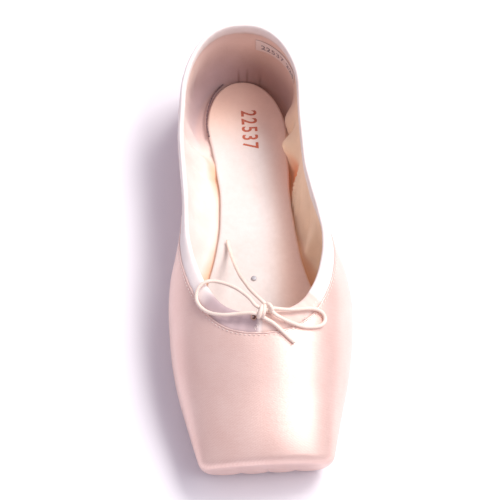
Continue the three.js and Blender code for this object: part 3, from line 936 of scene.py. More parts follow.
class NodeSheet:
    """A material's nodes, with short calls for the ones that the finishes share."""

    def __init__(self, name: str, roughness: float) -> None:
        """Starts a material with its shader.

        Args:
            name: The material's name.
            roughness: The shader's roughness.
        """
        self.material = bpy.data.materials.new(name)
        self.material.use_nodes = True
        self.tree = self.material.node_tree
        self.shader = self.tree.nodes["Principled BSDF"]
        self.shader.inputs["Roughness"].default_value = roughness
        self.coordinates = self.node("TexCoord")

    def node(self, kind: str, **inputs: float | Point) -> bpy.types.Node:
        """Adds a node.

        Args:
            kind: What it is, as its type's name goes on after ShaderNode.
            inputs: Numbers or vectors, under the inputs' names with _ for a space.

        Returns:
            The node.
        """
        node = self.tree.nodes.new("ShaderNode" + kind)
        for name, value in inputs.items():
            node.inputs[name.replace("_", " ")].default_value = value
        return node

    def link(self, source: Socket, target: Socket) -> None:
        """Joins two sockets."""
        self.tree.links.new(source, target)

    def fed(self, kind: str, source: Socket, at: str, **inputs: float | Point) -> Socket:
        """Adds a node, as node does, feeds it a source and takes its first output.

        Args:
            kind: What it is.
            source: What is fed to it.
            at: The name of the input that takes the source.
            inputs: Numbers or vectors for its other inputs.

        Returns:
            The first output.
        """
        node = self.node(kind, **inputs)
        self.link(source, node.inputs[at])
        return node.outputs[0]

    def set(self, **values: float | Colour) -> None:
        """Sets the shader's own sockets.

        Args:
            values: Numbers or colours, under the sockets' names with _ for a space.
        """
        for name, value in values.items():
            socket = self.shader.inputs[name.replace("_", " ")]
            is_colour = isinstance(value, tuple) and len(socket.default_value) == 4
            socket.default_value = (*value, 1.0) if is_colour else value

    def laid(self, on: Coordinates, scale: Point, angle: float = 0.0) -> Socket:
        """Coordinates in metres, turned and then scaled.

        Args:
            on: What they follow.
            scale: Units to the metre, along each axis.
            angle: The turn in degrees.

        Returns:
            The vector.
        """
        source = self.coordinates.outputs[on.value]
        turned = self.fed("Mapping", source, "Vector", Rotation=(0.0, 0.0, math.radians(angle)))
        return self.fed("Mapping", turned, "Vector", Scale=scale)

    def noise(self, vector: Socket, detail: float, roughness: float = 0.5) -> Socket:
        """Soft noise about 0.5: grains one unit wide, and as many finer ones as detail."""
        return self.fed("TexNoise", vector, "Vector", Scale=1.0, Detail=detail,
                        Roughness=roughness)

    def speckle(self, scale: float, detail: float, roughness: float = 0.5) -> Socket:
        """Noise through the solid, even in all directions, scale grains to the metre."""
        return self.noise(self.laid(Coordinates.SOLID, (scale,) * 3), detail, roughness)

    def threads(self, pitch: float, slant: float, distortion: float) -> Socket:
        """Even threads on the cloth: a wave texture, which has 3.2 to the unit.

        Args:
            pitch: Millimetres from thread to thread.
            slant: Their turn in degrees.
            distortion: How much they wander.

        Returns:
            The threads' height, from 0 to 1.
        """
        scale = 1000.0 / (pitch * 3.2)
        vector = self.laid(Coordinates.CLOTH, (scale, scale, 1.0), slant)
        node = self.node("TexWave", Scale=1.0, Distortion=distortion, Detail=1.0)
        self.link(vector, node.inputs["Vector"])
        return node.outputs["Fac"]

    def sum(self, *parts: tuple[Socket, float]) -> Socket:
        """The parts added, each times its own share.

        Args:
            parts: Sockets and their shares.

        Returns:
            The sum.
        """
        total = None
        for socket, share in parts:
            node = self.node("Math")
            node.operation = "MULTIPLY_ADD"
            node.inputs[1].default_value = share
            node.inputs[2].default_value = 0.0
            self.link(socket, node.inputs[0])
            if total is not None:
                self.link(total, node.inputs[2])
            total = node.outputs[0]
        return total

    def blended(self, factor: Socket, *stops: tuple[float, Colour]) -> Socket:
        """A run of two colours along a factor.

        Args:
            factor: What the colour follows.
            stops: Two places along it, each with its colour.

        Returns:
            The colour.
        """
        node = self.node("ValToRGB")
        for element, (place, colour) in zip(node.color_ramp.elements, stops):
            element.position = place
            element.color = (*colour, 1.0)
        self.link(factor, node.inputs["Fac"])
        return node.outputs["Color"]

    def ranged(self, factor: Socket, low: float, high: float) -> Socket:
        """A factor from 0 to 1 spread between two numbers."""
        return self.fed("MapRange", factor, "Value", To_Min=low, To_Max=high)

    def tinted(self, factor: Socket, shade: float) -> Socket:
        """The mesh's own colour, shaded a little warmly at the factor's lows.

        Args:
            factor: What the shade follows.
            shade: What is left of the colour's red at the lows.

        Returns:
            The colour.
        """
        tint = self.node("Attribute")
        tint.attribute_name = "tint"
        node = self.node("Mix")
        node.data_type = "RGBA"
        node.blend_type = "MULTIPLY"
        node.inputs[0].default_value = 1.0
        self.link(tint.outputs["Color"], node.inputs[6])
        low = (shade, shade * 0.97, shade * 0.95)
        self.link(self.blended(factor, (0.34, low), (0.66, (1.0, 1.0, 1.0))), node.inputs[7])
        return node.outputs[2]

    def raised(self, height: Socket, depth: float, strength: float) -> None:
        """Gives the shader a relief.

        Args:
            height: The relief, from 0 to 1.
            depth: Its depth in millimetres.
            strength: Its share, 1 for all of it.
        """
        normal = self.fed("Bump", height, "Height", Strength=strength, Distance=depth * MM)
        self.link(normal, self.shader.inputs["Normal"])

    def coloured(self, colour: Socket) -> None:
        """Gives the shader its colour."""
        self.link(colour, self.shader.inputs["Base Color"])

    def roughened(self, roughness: Socket) -> None:
        """Gives the shader its roughness."""
        self.link(roughness, self.shader.inputs["Roughness"])


@dataclass(frozen=True)
class SatinFinish:
    """Warp-faced satin: smooth long floats, a fine slanting twill and faint slubs.

    Its lengths are in millimetres and its slant in degrees.
    """

    name: str = "satin"
    light: Colour = (0.92, 0.69, 0.62)
    dark: Colour = (0.82, 0.56, 0.49)
    twill_pitch: float = 0.62
    twill_slant: float = -20.0
    slub_length: float = 6.0
    slub_width: float = 0.45
    clouds: Point = (90.0, 60.0, 90.0)
    grains: Point = (2600.0, 1100.0, 1.0)

    def build(self) -> Material:
        """The material."""
        sheet = NodeSheet(self.name, 0.34)
        twill = sheet.threads(self.twill_pitch, self.twill_slant, 2.2)
        slub_scale = (1000.0 / self.slub_width, 1000.0 / self.slub_length, 1.0)
        slubs = sheet.noise(sheet.laid(Coordinates.CLOTH, slub_scale), 2.0)
        cloudy = sheet.noise(sheet.laid(Coordinates.SOLID, self.clouds), 3.0)
        grain = sheet.noise(sheet.laid(Coordinates.CLOTH, self.grains, self.twill_slant), 2.0)
        tone = sheet.sum((cloudy, 0.38), (slubs, 0.22), (grain, 0.28), (twill, 0.12))
        sheet.coloured(sheet.blended(tone, (0.32, self.dark), (0.68, self.light)))
        sheet.roughened(sheet.ranged(sheet.sum((grain, 0.5), (slubs, 0.5)), 0.30, 0.46))
        height = sheet.sum((twill, 0.26), (grain, 0.50), (slubs, 0.24))
        sheet.raised(height, 0.09, 0.9)
        sheet.set(Sheen_Weight=0.10, Sheen_Roughness=0.45, Sheen_Tint=(1.0, 0.95, 0.93),
                  Specular_IOR_Level=0.8, Anisotropic=0.3, Metallic=0.48)
        return sheet.material


@dataclass(frozen=True)
class CottonFinish:
    """Plain-woven cotton in the mesh's own colours, with ribs both ways.

    shade is how much of the colour is left in its darker clouds.
    """

    name: str
    shade: float = 0.90
    thread_pitch: float = 0.5
    depth: float = 0.06
    roughness: float = 0.78
    cloud: float = 70.0

    def build(self) -> Material:
        """The material."""
        sheet = NodeSheet(self.name, self.roughness)
        warp = sheet.threads(self.thread_pitch, 0.0, 0.8)
        weft = sheet.threads(self.thread_pitch, 90.0, 0.8)
        cloudy = sheet.speckle(self.cloud, 4.0)
        fibre = sheet.noise(sheet.laid(Coordinates.CLOTH, (2200.0, 2200.0, 1.0)), 2.0)
        tone = sheet.sum((cloudy, 0.75), (fibre, 0.25))
        sheet.coloured(sheet.tinted(tone, self.shade))
        sheet.raised(sheet.sum((warp, 0.35), (weft, 0.35), (fibre, 0.30)), self.depth, 0.6)
        sheet.set(Sheen_Weight=0.2, Sheen_Roughness=0.6, Specular_IOR_Level=0.25)
        return sheet.material


@dataclass(frozen=True)
class NapFinish:
    """Brushed cloth or split leather: short fibres, mottled tone and no weave.

    Where the colour comes from the mesh, dark only says how far it is shaded. fibre and
    mottle are grains to the metre.
    """

    name: str
    light: Colour
    dark: Colour
    fibre: float = 1500.0
    mottle: float = 60.0
    depth: float = 0.08
    roughness: float = 0.88
    from_mesh: bool = False

    def build(self) -> Material:
        """The material."""
        sheet = NodeSheet(self.name, self.roughness)
        fibre = sheet.speckle(self.fibre, 3.0, 0.6)
        tufts = sheet.speckle(self.fibre * 0.3, 3.0, 0.6)
        mottle = sheet.speckle(self.mottle, 5.0, 0.6)
        tone = sheet.sum((mottle, 0.6), (tufts, 0.25), (fibre, 0.15))
        if self.from_mesh:
            sheet.coloured(sheet.tinted(tone, self.dark[0]))
        else:
            sheet.coloured(sheet.blended(tone, (0.35, self.dark), (0.65, self.light)))
        sheet.raised(sheet.sum((fibre, 0.6), (tufts, 0.4)), self.depth, 0.6)
        sheet.set(Sheen_Weight=0.3, Sheen_Roughness=0.7, Specular_IOR_Level=0.2)
        return sheet.material


@dataclass(frozen=True)
class CordFinish:
    """Braided elastic or thread: slanting strands round a round cord."""

    name: str
    light: Colour
    dark: Colour
    pitch: float = 0.9
    depth: float = 0.08
    roughness: float = 0.6
    slant: float = 35.0

    def build(self) -> Material:
        """The material."""
        sheet = NodeSheet(self.name, self.roughness)
        one = sheet.threads(self.pitch, self.slant, 0.3)
        other = sheet.threads(self.pitch, -self.slant, 0.3)
        cloudy = sheet.speckle(240.0, 3.0)
        tone = sheet.sum((cloudy, 0.6), (one, 0.2), (other, 0.2))
        sheet.coloured(sheet.blended(tone, (0.3, self.dark), (0.7, self.light)))
        sheet.raised(sheet.sum((one, 0.5), (other, 0.5)), self.depth, 0.5)
        sheet.set(Sheen_Weight=0.2, Sheen_Roughness=0.5, Specular_IOR_Level=0.35)
        return sheet.material


@dataclass(frozen=True)
class SteelFinish:
    """A tack's head: dull steel with fine marks."""

    name: str = "tack_metal"
    light: Colour = (0.62, 0.62, 0.65)
    dark: Colour = (0.40, 0.40, 0.44)

    def build(self) -> Material:
        """The material."""
        sheet = NodeSheet(self.name, 0.42)
        marks = sheet.noise(sheet.laid(Coordinates.SOLID, (2400.0, 2400.0, 900.0)), 4.0)
        sheet.coloured(sheet.blended(marks, (0.35, self.dark), (0.65, self.light)))
        sheet.roughened(sheet.ranged(marks, 0.60, 0.80))
        sheet.raised(marks, 0.02, 0.4)
        sheet.set(Metallic=1.0)
        return sheet.material


@dataclass(frozen=True)
class InkFinish:
    """Stamped ink on cloth: matt, worn thin where fibres show through."""

    name: str
    light: Colour
    dark: Colour

    def build(self) -> Material:
        """The material."""
        sheet = NodeSheet(self.name, 0.8)
        worn = sheet.speckle(1400.0, 4.0, 0.65)
        sheet.coloured(sheet.blended(worn, (0.38, self.dark), (0.64, self.light)))
        sheet.raised(worn, 0.03, 0.5)
        sheet.set(Specular_IOR_Level=0.2)
        return sheet.material


# ------------------------------------------------------------------ shared by pieces


def height_on(pieces: list[Object], x: float, y: float) -> Array:
    """The highest point of some pieces at a place, found by a ray from high above it.

    Args:
        pieces: Finished pieces.
        x: Place in the part's frame, in millimetres.
        y: The same, along the shoe.

    Returns:
        The point, in millimetres.
    """
    depsgraph = bpy.context.evaluated_depsgraph_get()
    above = Vector((x * MM, y * MM, 0.2))
    down = Vector((0.0, 0.0, -1.0))
    best = 0.0
    for piece in pieces:
        hit = BVHTree.FromObject(piece, depsgraph).ray_cast(above, down)[0]
        if hit is not None:
            best = max(best, hit.z / MM)
    return np.array([x, y, best])


def numeral_mesh(name: str, text: str, spacing: float,
                 tall: float) -> tuple[bpy.types.Mesh, Array]:
    """Thin solid numerals as a mesh, and its corners from their lower left one.

    Args:
        name: The mesh's name.
        text: The numerals.
        spacing: How widely they are set, 1 for the face's own spacing.
        tall: How tall they are, in millimetres.

    Returns:
        The mesh and its corners, rightwards, upwards and outwards.
    """
    curve = bpy.data.curves.new(name, "FONT")
    curve.body = text
    curve.size = 1.0
    curve.space_character = spacing
    curve.extrude = 0.004
    curve.offset = 0.018
    curve.resolution_u = 6
    writer = in_scene(name + "_text", curve)
    bpy.context.view_layer.update()
    mesh = bpy.data.meshes.new_from_object(writer)
    bpy.data.objects.remove(writer)
    flat = np.zeros(len(mesh.vertices) * 3, dtype=np.float32)
    mesh.vertices.foreach_get("co", flat)
    mesh.name = name
    corners = flat.reshape(-1, 3).astype(float)
    corners[:, :2] -= corners[:, :2].min(axis=0)
    return mesh, corners * (tall / corners[:, 1].max())


def place_numerals(mesh: bpy.types.Mesh, points: Array, material: Material,
                   slot: str) -> None:
    """Lays numerals out at their places and makes a piece of them.

    Args:
        mesh: The numerals.
        points: Where their corners go, in millimetres of the part's frame.
        material: Their finish.
        slot: The name of a material slot.
    """
    mesh.vertices.foreach_set("co", (points * MM).astype(np.float32).ravel())
    work = bmesh.new()
    work.from_mesh(mesh)
    bmesh.ops.remove_doubles(work, verts=work.verts, dist=0.001 * MM)
    bmesh.ops.recalc_face_normals(work, faces=work.faces)
    work.to_mesh(mesh)
    work.free()
    place_on_part(in_scene(mesh.name, mesh), material, slot)


# ------------------------------------------------------------------ the studio


@dataclass(frozen=True)
class Lamp:
    """A large soft lamp. Its place, aim and size are in metres, its power in watts."""

    name: str
    place: Point
    aim: Point
    size: tuple[float, float]
    power: float
    colour: Colour

    def build(self) -> None:
        """Builds the lamp, turned so that it looks at its aim and its width lies level."""
        data = bpy.data.lights.new(self.name, "AREA")
        data.shape = "RECTANGLE"
        data.size, data.size_y = self.size
        data.energy = self.power
        data.color = self.colour
        lamp = in_scene(self.name, data)
        lamp.location = self.place
        direction = np.array(self.aim) - np.array(self.place)
        yaw = math.atan2(direction[1], direction[0])
        tilt = math.atan2(-direction[2], math.hypot(direction[0], direction[1]))
        lamp.rotation_euler = (QUARTER - tilt, 0.0, yaw - QUARTER)


@dataclass
class Studio:
    """A pale floor, a pale sky, a soft key high on the right with a strip, and the camera.

    The camera's place is in millimetres of the part's frame and its turns in degrees.
    """

    camera_place: Point = (-22.6, -364.2, 600.0)
    camera_turn: float = 3.07
    camera_dip: float = 58.0
    focal_length: float = 99.8
    sensor_width: float = 36.0
    floor_half: float = 3.0
    floor_colour: Colour = (0.91, 0.90, 0.95)
    sky_colour: Colour = (0.88, 0.80, 0.92)
    sky_strength: float = 0.57
    lamps: tuple[Lamp, ...] = (
        Lamp("key", (0.71, 0.50, 1.34), (0.0, 0.0, 0.02), (0.66, 0.66), 20.0, (1.0, 0.96, 0.92)),
        Lamp("strip", (0.64, -0.24, 1.12), (0.0, -0.05, 0.03), (1.0, 0.32), 6.6,
             (1.0, 0.98, 0.96)),
    )

    def build_camera(self) -> None:
        """Puts the camera in front of the toe, looking down at the shoe."""
        data = bpy.data.cameras.new("camera")
        data.lens = self.focal_length
        data.sensor_width = self.sensor_width
        data.clip_start = 0.01
        data.clip_end = 20.0
        camera = in_scene("camera", data)
        camera.location = [value * MM for value in self.camera_place]
        camera.rotation_euler = (
            math.radians(90.0 - self.camera_dip), 0.0, math.radians(-self.camera_turn),
        )
        bpy.context.scene.camera = camera

    def build_floor(self) -> None:
        """Lays a plain pale floor under the sole."""
        half = self.floor_half
        corners = [(-half, -half, 0.0), (half, -half, 0.0), (half, half, 0.0), (-half, half, 0.0)]
        mesh = bpy.data.meshes.new("floor")
        mesh.from_pydata(corners, [], [(0, 1, 2, 3)])
        floor = in_scene("floor", mesh)
        sheet = NodeSheet("floor_paper", 0.9)
        soft = sheet.speckle(3.0, 2.0)
        low = tuple(value * 0.99 for value in self.floor_colour)
        sheet.coloured(sheet.blended(soft, (0.3, low), (0.7, self.floor_colour)))
        sheet.set(Specular_IOR_Level=0.0)
        mesh.materials.append(sheet.material)

    def build_lights(self) -> None:
        """Lights the studio with its sky and lamps."""
        world = bpy.data.worlds.new("studio_sky")
        world.use_nodes = True
        sky = world.node_tree.nodes["Background"]
        sky.inputs["Color"].default_value = (*self.sky_colour, 1.0)
        sky.inputs["Strength"].default_value = self.sky_strength
        bpy.context.scene.world = world
        for lamp in self.lamps:
            lamp.build()

    def build(self) -> None:
        """Builds the camera, the floor and the lights, and sets how colours are shown."""
        self.build_camera()
        self.build_floor()
        self.build_lights()
        bpy.context.scene.view_settings.view_transform = "Standard"
        bpy.context.scene.view_settings.look = "None"
        log.info("studio ready")


# ------------------------------------------------------------------ the pieces


@dataclass(frozen=True)
class Wrap:
    """One turn of elastic round the knot.

    axis is what it goes round, across roughly where its longer radius points, and
    thickness the pressed cord's diameter. The radii reach to the middle of the cord.
    """

    centre: Point
    axis: Point
    across: Point
    radii: tuple[float, float]
    thickness: float
    spread: float = 0.4

    def patch(self) -> Patch:
        """A round cord along an ellipse, one side of it spread along the axis."""
        axis_out = unit(np.array(self.axis))
        second = unit(np.cross(axis_out, np.array(self.across)))
        first = unit(np.cross(second, axis_out))
        angle = full_turn(64)[:, None]
        line = np.array(self.centre) + self.radii[0] * np.cos(angle) * first
        line = line + self.radii[1] * np.sin(angle) * second
        line = line + axis_out * self.spread * np.sin(angle)
        return tube(line, self.thickness / 2, 16, axis_out, True)


@dataclass
class Bow:
    """The elastic drawstring's bow: two strands through one knot of three turns."""

    last: Last
    diameter: float = 1.7
    sides: int = 14
    left_loop: tuple[Point, ...] = (
        (-0.6, -55.6, 55.2), (-3.4, -54.1, 55.6), (-5.6, -50.3, 54.9), (-8.2, -46.7, 53.8),
        (-11, -43.5, 52.7), (-14.2, -40.9, 51.8), (-18, -38.7, 51.1), (-21.8, -37.6, 51),
        (-25.4, -37.9, 51.1), (-28.2, -39.6, 50.5), (-29.9, -42.2, 49.2), (-30, -45.7, 48),
        (-28, -49.9, 48.4), (-24.2, -53.7, 50), (-18.2, -56.1, 51.9), (-11.6, -56.7, 53.3),
        (-5.2, -57.3, 54.5), (-1.6, -58.5, 54.2),
    )
    outer_tail: tuple[Point, ...] = (
        (1.4, -60.3, 53.2), (3.3, -61.3, 52.7), (5.5, -62.9, 51.8), (7.6, -64.7, 50.7),
        (9.7, -66.6, 49.5), (11.4, -68.2, 48.7), (12.9, -69.6, 48.1),
    )
    right_loop: tuple[Point, ...] = (
        (0.2, -56.7, 55), (2.8, -55.6, 55.1), (6.2, -55.6, 54.4), (10, -55.9, 53.8),
        (14, -55.7, 53.1), (18, -55, 52.1), (21.8, -54.3, 50.8), (25.4, -54.2, 48.8),
        (27.8, -55.7, 46.9), (28.2, -58.1, 46.1), (26.6, -60.5, 46.3), (23.4, -62, 47.4),
        (18, -62.7, 49.3), (13, -61.7, 51.2), (8.6, -60.1, 52.9), (5.2, -58.3, 54.2),
        (3, -56.1, 55.3),
    )
    inner_tail: tuple[Point, ...] = (
        (1, -53.6, 55.6), (-0.9, -51, 55.1), (-2.6, -48.4, 54.1), (-4.1, -45.3, 52.2),
        (-5.4, -41.9, 49.6), (-6.6, -37.5, 46), (-7.8, -32.7, 41.8), (-8.9, -26.9, 36),
        (-9.9, -20.7, 30.4), (-10.8, -14.7, 25.2), (-11.6, -8.9, 20.6), (-12.4, -3.1, 16.6),
        (-13, 1.9, 13.6), (-13.5, 5.7, 12), (-13.8, 8.3, 11.6),
    )
    wraps: tuple[Wrap, ...] = (
        Wrap((-1.5, -57.1, 54.8), (0.95, -0.33, 0.0), (0.3, 0.95, 0.2), (2.5, 1.9), 1.9),
        Wrap((0.2, -56.7, 54.9), (0.95, -0.20, 0.1), (0.2, 0.95, 0.1), (2.3, 1.8), 1.8),
        Wrap((2.7, -55.3, 55.2), (0.80, 0.60, 0.0), (-0.6, 0.8, 0.1), (1.9, 1.6), 1.8),
    )
    finish: CordFinish = CordFinish("elastic", (0.93, 0.80, 0.71), (0.85, 0.68, 0.58))

    def build_strand(self, name: str, route: tuple[Point, ...], held: list[Object],
                     material: Material, *nodes: str) -> None:
        """Builds a strand, from the knot round its loop and through to its bare end.

        Its points are half a millimetre apart, and its radius swells and shrinks
        by 2%.

        Args:
            name: The piece's name.
            route: The points that it runs through.
            held: Other pieces on it. Not used.
            material: Its finish.
            nodes: The part's nodes that it stands for.
        """
        length = arc_lengths(np.array(route))[-1]
        line = flowing_line(np.array(route), int(length / 0.5))
        at = arc_lengths(line)
        swell = 1.0 + 0.02 * np.sin(at * 1.9) * np.sin(at * 0.37)
        radius = self.diameter / 2 * swell
        patch = tube(line, radius, self.sides, np.array([0.05, 0.1, 1.0]), False, True)
        piece = make_piece(name, patch, material, "elastic", *nodes)
        log.info("%s is %.1f mm long", name, at[-1])

    def build(self) -> None:
        """Builds the knot and both strands."""
        material = self.finish.build()
        turns = Patch.joined([wrap.patch() for wrap in self.wraps])
        knot = make_piece("knot_turns", turns, material, "elastic", "bow_knot")
        self.build_strand("left_strand", self.left_loop + self.outer_tail, [knot], material,
                          "bow_loop_left", "bow_tail_outer")
        self.build_strand("right_strand", self.right_loop + self.inner_tail, [], material,
                          "bow_loop_right", "bow_tail_inner")


@dataclass
class Skin(WallSheet):
    """The satin outside of the upper, pleated under the toe."""

    sole_columns: int = 30
    pleats: int = 22
    pleat_depth: float = 0.9
    pleat_fan: tuple[float, float] = (1.2, 43.0)
    heel_gathers: int = 14
    heel_gather_depth: float = 0.3
    heel_fan: tuple[float, float] = (0.0, 200.0)
    side_seam: float = 107.0
    side_seam_depth: float = 0.28
    side_seam_lip: float = 0.10
    heel_seam_depth: float = 0.30
    unevenness: float = 0.22

    def folds(self, turn: Array, count: int) -> Array:
        """Folds in a fan: the square root of a rectified sine, about a third up."""
        return np.sqrt(np.abs(np.sin(turn * count / 2)) + 0.02) - 0.75

    def relief(self, at: Places) -> Array:
        """Creases, pleats under the toe, gathers under the heel, seams and unevenness.

        The pleats and gathers fan out round the outsole's two ends, full at the underside
        and gone where the wall stands upright. A seam is a bell-shaped trough, at the
        sides with a bell-shaped lip on either side of it.

        Args:
            at: Places on it.

        Returns:
            Millimetres at each of them.
        """
        total = super().relief(at)
        from_toe, across = at.from_toe, at.across
        aside, ahead = across - self.pleat_fan[0], self.pleat_fan[1] - from_toe
        share = fade(at.way, 0.7, 1.4) * fade(from_toe, 36, 58)
        share = share * smoothstep(np.hypot(aside, ahead), 8, 18)
        total += self.pleat_depth * self.folds(np.arctan2(aside, ahead), self.pleats) * share
        aside, behind = across - self.heel_fan[0], from_toe - self.heel_fan[1]
        share = fade(at.way, 0.5, 1.2) * smoothstep(from_toe, 203, 216)
        gathers = self.folds(np.arctan2(aside, behind), self.heel_gathers)
        total += self.heel_gather_depth * gathers * share
        seam = from_toe - (self.side_seam + 0.22 * (at.height - 20.0))
        lips = bump(seam, -1.5, 1.0) + bump(seam, 1.5, 1.0)
        total += self.side_seam_lip * lips - self.side_seam_depth * bump(seam, 0.0, 0.5)
        heel = smoothstep(from_toe, 215, 226)
        total -= self.heel_seam_depth * bump(across, 0.0, 0.6) * heel
        wave = np.sin(from_toe * 0.11 + 0.6 * at.side.value) * np.sin(at.height * 0.16 + 1.0)
        soft = smoothstep(from_toe, 96, 140) * smoothstep(at.way, 1.0, 1.6)
        return total + self.unevenness * wave * soft

    def build(self) -> None:
        """Builds the skin and dresses it in satin."""
        material = SatinFinish().build()
        make_piece("satin_skin", self.patch(True), material, "satin", "upper", wall=0.5)


@dataclass
class Lining(WallSheet):
    """The cotton inside of the upper, soft and creased at the waist."""

    room: float = 0.9
    heel_fold_shadow_lines: tuple[float, ...] = (-1.2, 3.4, 10.2)

    def tint(self, at: Places) -> Array:
        """Cream cloth under painted light and shade: a warm glow and shade on the right wall,
        shade through the heel, mauve brown low in it and mauve on its left.

        Painted orange shade lies in the deep fold at the right of the waist and at the foot
        of the wall, and painted dark lines stand for the shade of fine folds low at the back
        of the heel.

        Args:
            at: Places on it.

        Returns:
            A colour at each of them.
        """
        from_toe, across, height = at.from_toe, at.across, at.height
        right = smoothstep(across, -16, 14)
        # Painted warm glow and shade on the right wall, less of it near the top.
        painted_right_glow_and_shade = right * (1 - 0.3 * smoothstep(height, 30, 44))
        # Painted shade through the heel, and darker painted shade low in it.
        heel = smoothstep(from_toe, 182, 214)
        low = fade(height, 12, 44)
        # Painted mauve shade low on the left of the heel.
        left_heel_painted_shade = (1 - right) * smoothstep(from_toe, 176, 200)
        # Painted orange shade in the deep fold at the right of the waist.
        crevice_painted_shade = bump(from_toe, 162.0, 8.5) * fade(height, 11, 20) * right
        # Painted dark lines for the shade of fine folds low at the back of the heel.
        back = smoothstep(from_toe, 222, 227) * fade(height, 10, 19)
        folds = back * sum(bump(across, place, 0.55) for place in self.heel_fold_shadow_lines)
        # Painted orange shade at the foot of the wall, weaker from the waist back.
        foot = fade(height, 5.5, 9.0) * (1 - 0.8 * smoothstep(from_toe, 168, 182))
        # The cream is the cloth's colour; every layer over it is painted light or shade.
        return layered(
            (0.88, 0.80, 0.77),
            ((1.0, 0.76, 0.54), painted_right_glow_and_shade),
            ((0.88, 0.62, 0.54), heel * 0.8),
            ((0.42, 0.25, 0.22), heel * low),
            ((0.62, 0.50, 0.55), left_heel_painted_shade * low * 0.6),
            ((0.95, 0.34, 0.13), crevice_painted_shade),
            ((0.24, 0.13, 0.12), folds * 0.7),
            ((0.86, 0.45, 0.24), foot * 0.8),
        )

    def relief(self, at: Places) -> Array:
        """Creases and a little unevenness, more of it at the soft waist.

        A trough stops where it has used up its room, short of the satin outside.

        Args:
            at: Places on it.

        Returns:
            Millimetres at each of them.
        """
        total = super().relief(at)
        wave = np.sin(at.from_toe * 0.16 + 1.3 * at.side.value) * np.sin(at.height * 0.21 + 0.4)
        soft = 0.15 + 0.30 * smoothstep(at.from_toe, 100, 135)
        return np.maximum(total + soft * wave * smoothstep(at.way, 1.0, 1.5), -self.room)

    def build(self) -> None:
        """Builds the lining and dresses it in cotton."""
        material = CottonFinish("lining", 0.88).build()
        make_piece("lining", self.patch(False), material, "lining", wall=0.4)


